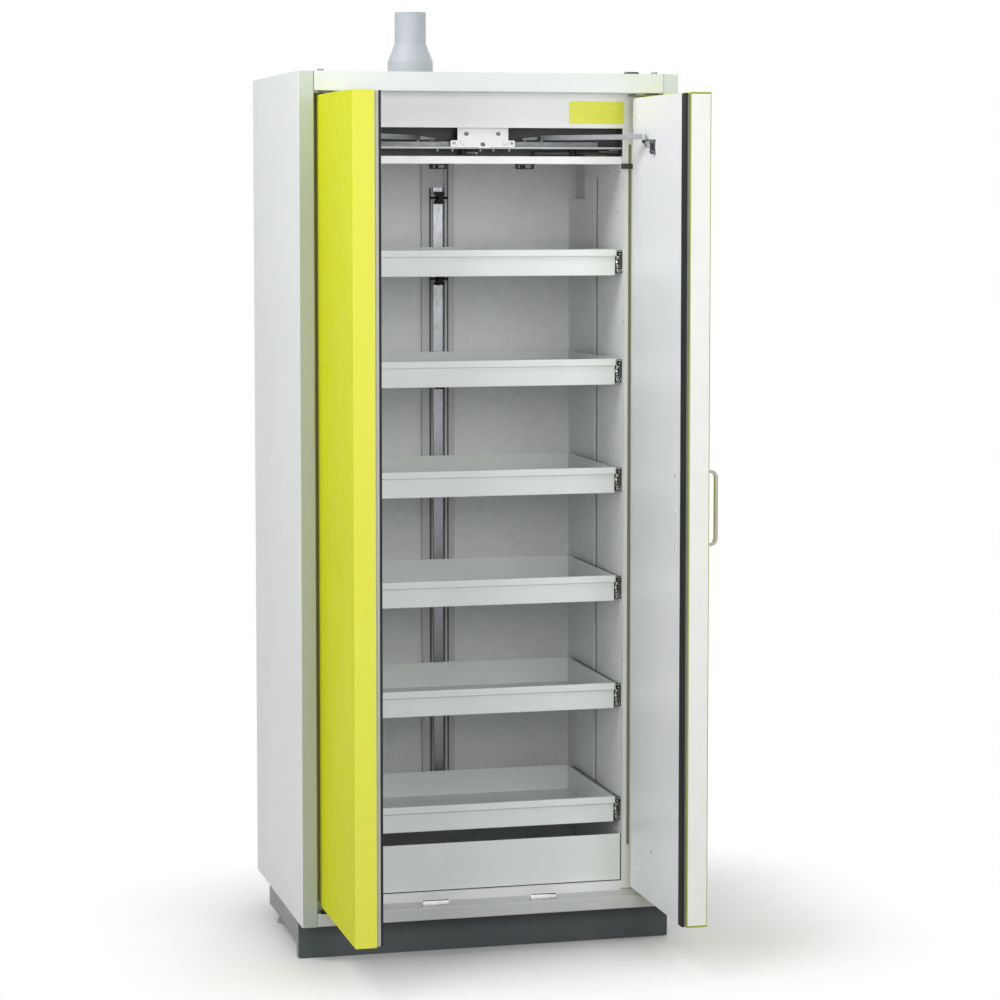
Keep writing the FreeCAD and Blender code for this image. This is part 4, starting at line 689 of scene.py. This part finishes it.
def buildDarkTrims(look):
    buildPair("gap_shade_strips", look, ("slot", "gap"), 0.2, "paintedShadeStrip")
    # Strips of painted shade under the ends of the fascia
    buildPair("soffit_shade_strips", look, ("soffit",), 0.4, "jambSealAndShadeStrip")

    # Black strips of painted shade at the sump's front edges
    bm = bmesh.new()
    addSpan(bm, look, "sump", 0.3)
    mirrorCopy(bm)
    inner, front, foot = look["sumpX"][0], frontPlane + look["sumpY"][0], look["sumpZ"][0]
    addBlock(bm, (-inner, front, foot), (inner, front + 1.5, foot + look["sumpFoot"]), 0.3)
    finishPiece("sump_edge_shade_strips", bm, "blackPolyamideAndShade", "sump_drawer")

    # Grey linings of painted shade in the side grooves
    buildPair("groove_shade_linings", look, ("groove",), 0.3, "grooveShadeLining")

    # Dark strips of painted shade in the gaps of the rear column
    bm = bmesh.new()
    face = frontPlane + look["columnFace"]
    for x0, x1, high in look["columnGaps"]:
        addBlock(bm, (x0, face - 0.3, look["columnLow"]), (x1, face + 0.4, high), 0.1)
    finishPiece("column_gap_shade_strips", bm, "greyProfileAndGapShade", "cabinet")

    # Black discs of painted shade just inside the board holes
    bm = bmesh.new()
    radius, depth = look["holeRadius"], look["holeDepth"]
    for y, z in look["holes"]:
        addTurned(bm, [(radius, 0.0), (radius, depth), (radius - 0.8, depth)],
                  (look["wallX"] + depth + 0.4, frontPlane + y, z), (-1, 0, 0), 12)
    mirrorCopy(bm)
    finishPiece("board_hole_shade_discs", bm, "blackPolyamideAndShade", "cabinet")


buildDarkTrims(darkTrims)
print("dark trims made")

# Dark grey sheet of painted shade behind the guide rail, upright lips of the striker tabs, end caps of the plinth
smallSheets = {"shadeSheetX": 325.6, "shadeSheetY": (121.0, 122.5), "shadeSheetZ": (1787.0, 1866.0), "hem": 8.0,
               "tabX": (95.0, 155.0), "tabY": (13.2, 14.0), "tabZ": (111.7, 123.4), "rubber": 1.3,
               "capX": (431.0, 431.9), "capY": (55.6, 74.6), "capZ": (0.6, 82.4),
               "sideX": (324.6, 325.9), "sideY": (64.0, 121.0), "sideZ": (1792.4, 1866.0),
               "postX": (321.0, 326.4), "postY": (61.7, 63.3), "postZ": (1777.0, 1856.0),
               "carrierX": (340.6, 355.3), "carrierY": (57.2, 61.9), "carrierZ": (218.0, 1819.4),
               "jointX": (397.6, 398.4), "jointY": (-0.1, 0.6), "jointZ": (1932.4, 1974.4),
               "windows": [(-101.5, -88.5), (-113.6, -109.8), (98.6, 111.6), (82.0, 85.6)], "windowY": 79.6,
               "windowZ": (1765.0, 1772.4), "discX": 328.5, "discY": 20.0, "disc": 17.2, "discZ": (1973.2, 1979.6)}


def buildSmallSheets(look):
    bm = bmesh.new()
    (y0, y1), (z0, z1) = look["shadeSheetY"], look["shadeSheetZ"]
    fold = [(y0 + look["hem"], z0), (y0, z0), (y0, z1), (y0 + look["hem"], z1)]
    addStrap(bm, [(-look["shadeSheetX"], frontPlane + y, z) for y, z in fold], (2 * look["shadeSheetX"], 0, 0), y1 - y0)
    (x0, x1), (y0, y1), (z0, z1) = look["sideX"], look["sideY"], look["sideZ"]
    for side in (-1, 1):
        a, b = sorted((side * x0, side * x1))
        addBlock(bm, (a, frontPlane + y0, z0), (b, frontPlane + y1, z1), 0.2)
    finishPiece("rail_shade_sheet", bm, "railShadeGreyPaint", "cabinet")
    buildPair("header_end_posts", look, ("post",), 0.3, "framePowderCoat")
    buildPair("gasket_carriers", look, ("carrier",), 0.4, "whiteEdgeProfile")
    bm = bmesh.new()
    face, (z0, z1) = frontPlane + look["windowY"], look["windowZ"]
    for x0, x1 in look["windows"]:
        addBlock(bm, (x0, face, z0), (x1, face + 1.0, z1), 0.3)
    finishPiece("catch_rollers", bm, "greyProfileAndGapShade", "cabinet")
    buildPair("fascia_joint_profiles", look, ("joint",), 0.05, "greyProfileAndGapShade")
    bm = bmesh.new()
    z0, z1 = look["discZ"]
    addTurned(bm, [(look["disc"], 0.0), (look["disc"], 4.6), (look["disc"] - 1.6, z1 - z0)],
              (look["discX"], frontPlane + look["discY"], z0), (0, 0, 1), 32)
    finishPiece("roof_cover_disc", bm, "smokedPolyamide", "cabinet")
    buildPair("striker_lips", look, ("tab",), 0.25, "brightZincSteel")
    rubbers = bmesh.new()
    (x0, x1), back, (z0, z1) = look["tabX"], frontPlane + look["tabY"][1], look["tabZ"]
    addBlock(rubbers, (x0 + 1.0, back - 0.1, z0), (x1 - 1.0, back + 3.0, z1 + look["rubber"]), 0.6)
    mirrorCopy(rubbers)
    finishPiece("striker_rubbers", rubbers, "blackPolyamideAndShade", "cabinet")
    buildPair("plinth_end_caps", look, ("cap",), 0.3, "basePowderCoat")


buildSmallSheets(smallSheets)
print("small sheets made")

# White cap on the header and rivets round the back panel
smallHeads = {"capX": -1.7, "capZ": 1920.8, "rivetX": 421.0, "rivetLow": 95.0, "rivetHigh": 1961.5, "rows": 13,
              "columns": 7, "backY": 484.6, "rivet": 3.2}


def buildSmallHeads(look):
    bm = bmesh.new()
    addTurned(bm, [(5.0, 0.0), (4.8, 0.8), (3.4, 1.4), (0.0, 1.6)], (look["capX"], frameFace + 0.05, look["capZ"]),
              (0, -1, 0), 20)
    finishPiece("header_cap", bm, "whitePolyethylene", "cabinet")
    bm = bmesh.new()
    dome = [(look["rivet"], 0.0), (look["rivet"] * 0.85, 0.7), (look["rivet"] * 0.45, 1.1), (0.0, 1.2)]
    spots = []
    for i in range(look["rows"]):
        z = look["rivetLow"] + (look["rivetHigh"] - look["rivetLow"]) * i / (look["rows"] - 1)
        spots += [(-look["rivetX"], z), (look["rivetX"], z)]
    for i in range(1, look["columns"] - 1):
        x = -look["rivetX"] + 2 * look["rivetX"] * i / (look["columns"] - 1)
        spots += [(x, look["rivetLow"]), (x, look["rivetHigh"])]
    for x, z in spots:
        addTurned(bm, dome, (x, look["backY"] - 0.05, z), (0, 1, 0), 10)
    finishPiece("back_rivets", bm, "shellPowderCoat", "cabinet")


buildSmallHeads(smallHeads)
print("small fittings made")

# Camera, lamps and floor
cameraView = {"lens": 106.515, "sensor": 36.0, "shiftY": -0.08, "place": (-1.59578, -6.48382, 1.70664),
              "turn": (85.640, 0.0, -14.2312), "farEnd": 200.0}


def placeCamera(look):
    cameraData = bpy.data.cameras.new("photoCamera")
    cameraData.lens = look["lens"]
    cameraData.sensor_width = look["sensor"]
    cameraData.shift_y = look["shiftY"]
    cameraData.clip_end = look["farEnd"]
    camera = bpy.data.objects.new("photoCamera", cameraData)
    camera.location = look["place"]
    camera.rotation_euler = [math.radians(a) for a in look["turn"]]
    bpy.context.scene.collection.objects.link(camera)
    bpy.context.scene.camera = camera


placeCamera(cameraView)

# Soft square panels, sizes in m and power in watts
lampSet = {
    "highLeftPanel": {"place": (-2.2, -1.8, 4.2), "target": (0.2, -0.3, 1.5), "size": 1.6, "power": 57.0},
    "leftPanel": {"place": (-2.8, -0.5, 3.9), "target": (0.3, -0.3, 1.4), "size": 1.6, "power": 33.0},
    "sidePanel": {"place": (-3.2, -3.4, 1.6), "target": (0.0, 0.0, 1.1), "size": 2.0, "power": 48.0},
    "frontPanel": {"place": (0.25, -3.6, 2.05), "target": (0.0, 0.0, 1.35), "size": 1.5, "power": 41.0},
    "rightPanel": {"place": (2.6, -3.8, 2.4), "target": (0.0, 0.0, 1.2), "size": 1.8, "power": 10.0},
    "roofPanel": {"place": (0.2, 0.3, 4.4), "target": (0.0, 0.0, 1.0), "size": 2.0, "power": 23.0},
    "rearPanel": {"place": (2.2, 4.2, 2.6), "target": (0.0, 0.0, 1.0), "size": 2.5, "power": 68.0},
    "rightSidePanel": {"place": (4.4, 0.9, 2.4), "target": (0.2, 0.0, 1.1), "size": 2.2, "power": 36.0},
}


def placeLamps(lamps):
    for lampName, look in lamps.items():
        lampData = bpy.data.lights.new(lampName, "AREA")
        lampData.shape = "SQUARE"
        lampData.size = look["size"]
        lampData.energy = look["power"]
        lamp = bpy.data.objects.new(lampName, lampData)
        lamp.location = look["place"]
        aim = Vector(look["target"]) - Vector(look["place"])
        lamp.rotation_euler = aim.to_track_quat("-Z", "Y").to_euler()
        bpy.context.scene.collection.objects.link(lamp)


placeLamps(lampSet)

# Pale room and floor: the floor fades to white beyond half, over fadeStart to fadeEnd, in m
stageLook = {"worldLight": 0.32, "floorRadius": 40.0, "middle": (0.10, 0.16, 0.0), "half": (0.40, 0.22, 0.0),
             "fadeStart": 0.0, "fadeEnd": 0.6, "floor": "E6E6E6", "bounce": "A8A8A8"}


def cameraSees(tree):
    # 1 for rays of the camera and for those seen in gloss or glass
    rays = addNode(tree, "ShaderNodeLightPath")
    seen = addNode(tree, "ShaderNodeMath", {"operation": "MAXIMUM"}, {0: rays.outputs["Is Camera Ray"],
                   1: rays.outputs["Is Glossy Ray"]})
    return addNode(tree, "ShaderNodeMath", {"operation": "MAXIMUM"}, {0: seen.outputs[0],
                   1: rays.outputs["Is Transmission Ray"]}).outputs[0]


def buildStage(look):
    world = bpy.data.worlds.new("paleRoom")
    world.use_nodes = True
    bpy.context.scene.world = world
    tree = world.node_tree
    level = addNode(tree, "ShaderNodeMapRange", {},
                    {"Value": cameraSees(tree), "To Min": look["worldLight"], "To Max": 1.0})
    tree.links.new(level.outputs["Result"], tree.nodes["Background"].inputs["Strength"])
    tree.nodes["Background"].inputs["Color"].default_value = (1.0, 1.0, 1.0, 1.0)

    # Matt painted studio floor: pale near the object, fading into the white of the room
    material, tree, shader, place = startMaterial("mattFloorPaint", {"Roughness": 0.9, "Specular IOR Level": 0.2})
    tone = addNode(tree, "ShaderNodeMix", {"data_type": "RGBA"},
                   {"Factor": cameraSees(tree), 6: linearColour(look["bounce"]), 7: linearColour(look["floor"])})
    tree.links.new(tone.outputs[2], shader.inputs["Base Color"])
    moved = addNode(tree, "ShaderNodeVectorMath", {"operation": "SUBTRACT"}, {0: place, 1: look["middle"]})
    side = addNode(tree, "ShaderNodeVectorMath", {"operation": "ABSOLUTE"}, {0: moved.outputs["Vector"]})
    beyond = addNode(tree, "ShaderNodeVectorMath", {"operation": "SUBTRACT"},
                     {0: side.outputs["Vector"], 1: look["half"]})
    outside = addNode(tree, "ShaderNodeVectorMath", {"operation": "MAXIMUM"},
                      {0: beyond.outputs["Vector"], 1: (0.0, 0.0, 0.0)})
    reach = addNode(tree, "ShaderNodeVectorMath", {"operation": "LENGTH"}, {0: outside.outputs["Vector"]})
    fade = addNode(tree, "ShaderNodeMapRange", {"interpolation_type": "SMOOTHSTEP"}, {"Value": reach.outputs["Value"],
                   "From Min": look["fadeStart"], "From Max": look["fadeEnd"]})
    share = addNode(tree, "ShaderNodeMath", {"operation": "MULTIPLY"}, {0: cameraSees(tree), 1: fade.outputs["Result"]})
    glow = addNode(tree, "ShaderNodeEmission", {}, {"Color": (1.0, 1.0, 1.0, 1.0), "Strength": 1.0})
    blend = addNode(tree, "ShaderNodeMixShader", {}, {0: share.outputs[0], 1: shader.outputs[0], 2: glow.outputs[0]})
    tree.links.new(blend.outputs[0], tree.nodes["Material Output"].inputs["Surface"])
    bm = bmesh.new()
    bmesh.ops.create_circle(bm, cap_ends=True, radius=look["floorRadius"], segments=96)
    mesh = bpy.data.meshes.new("studioFloor")
    bm.to_mesh(mesh)
    bm.free()
    mesh.materials.append(material)
    floor = bpy.data.objects.new("studioFloor", mesh)
    bpy.context.scene.collection.objects.link(floor)


buildStage(stageLook)
bpy.context.scene.view_settings.view_transform = "Standard"
print("camera, lamps and floor placed")
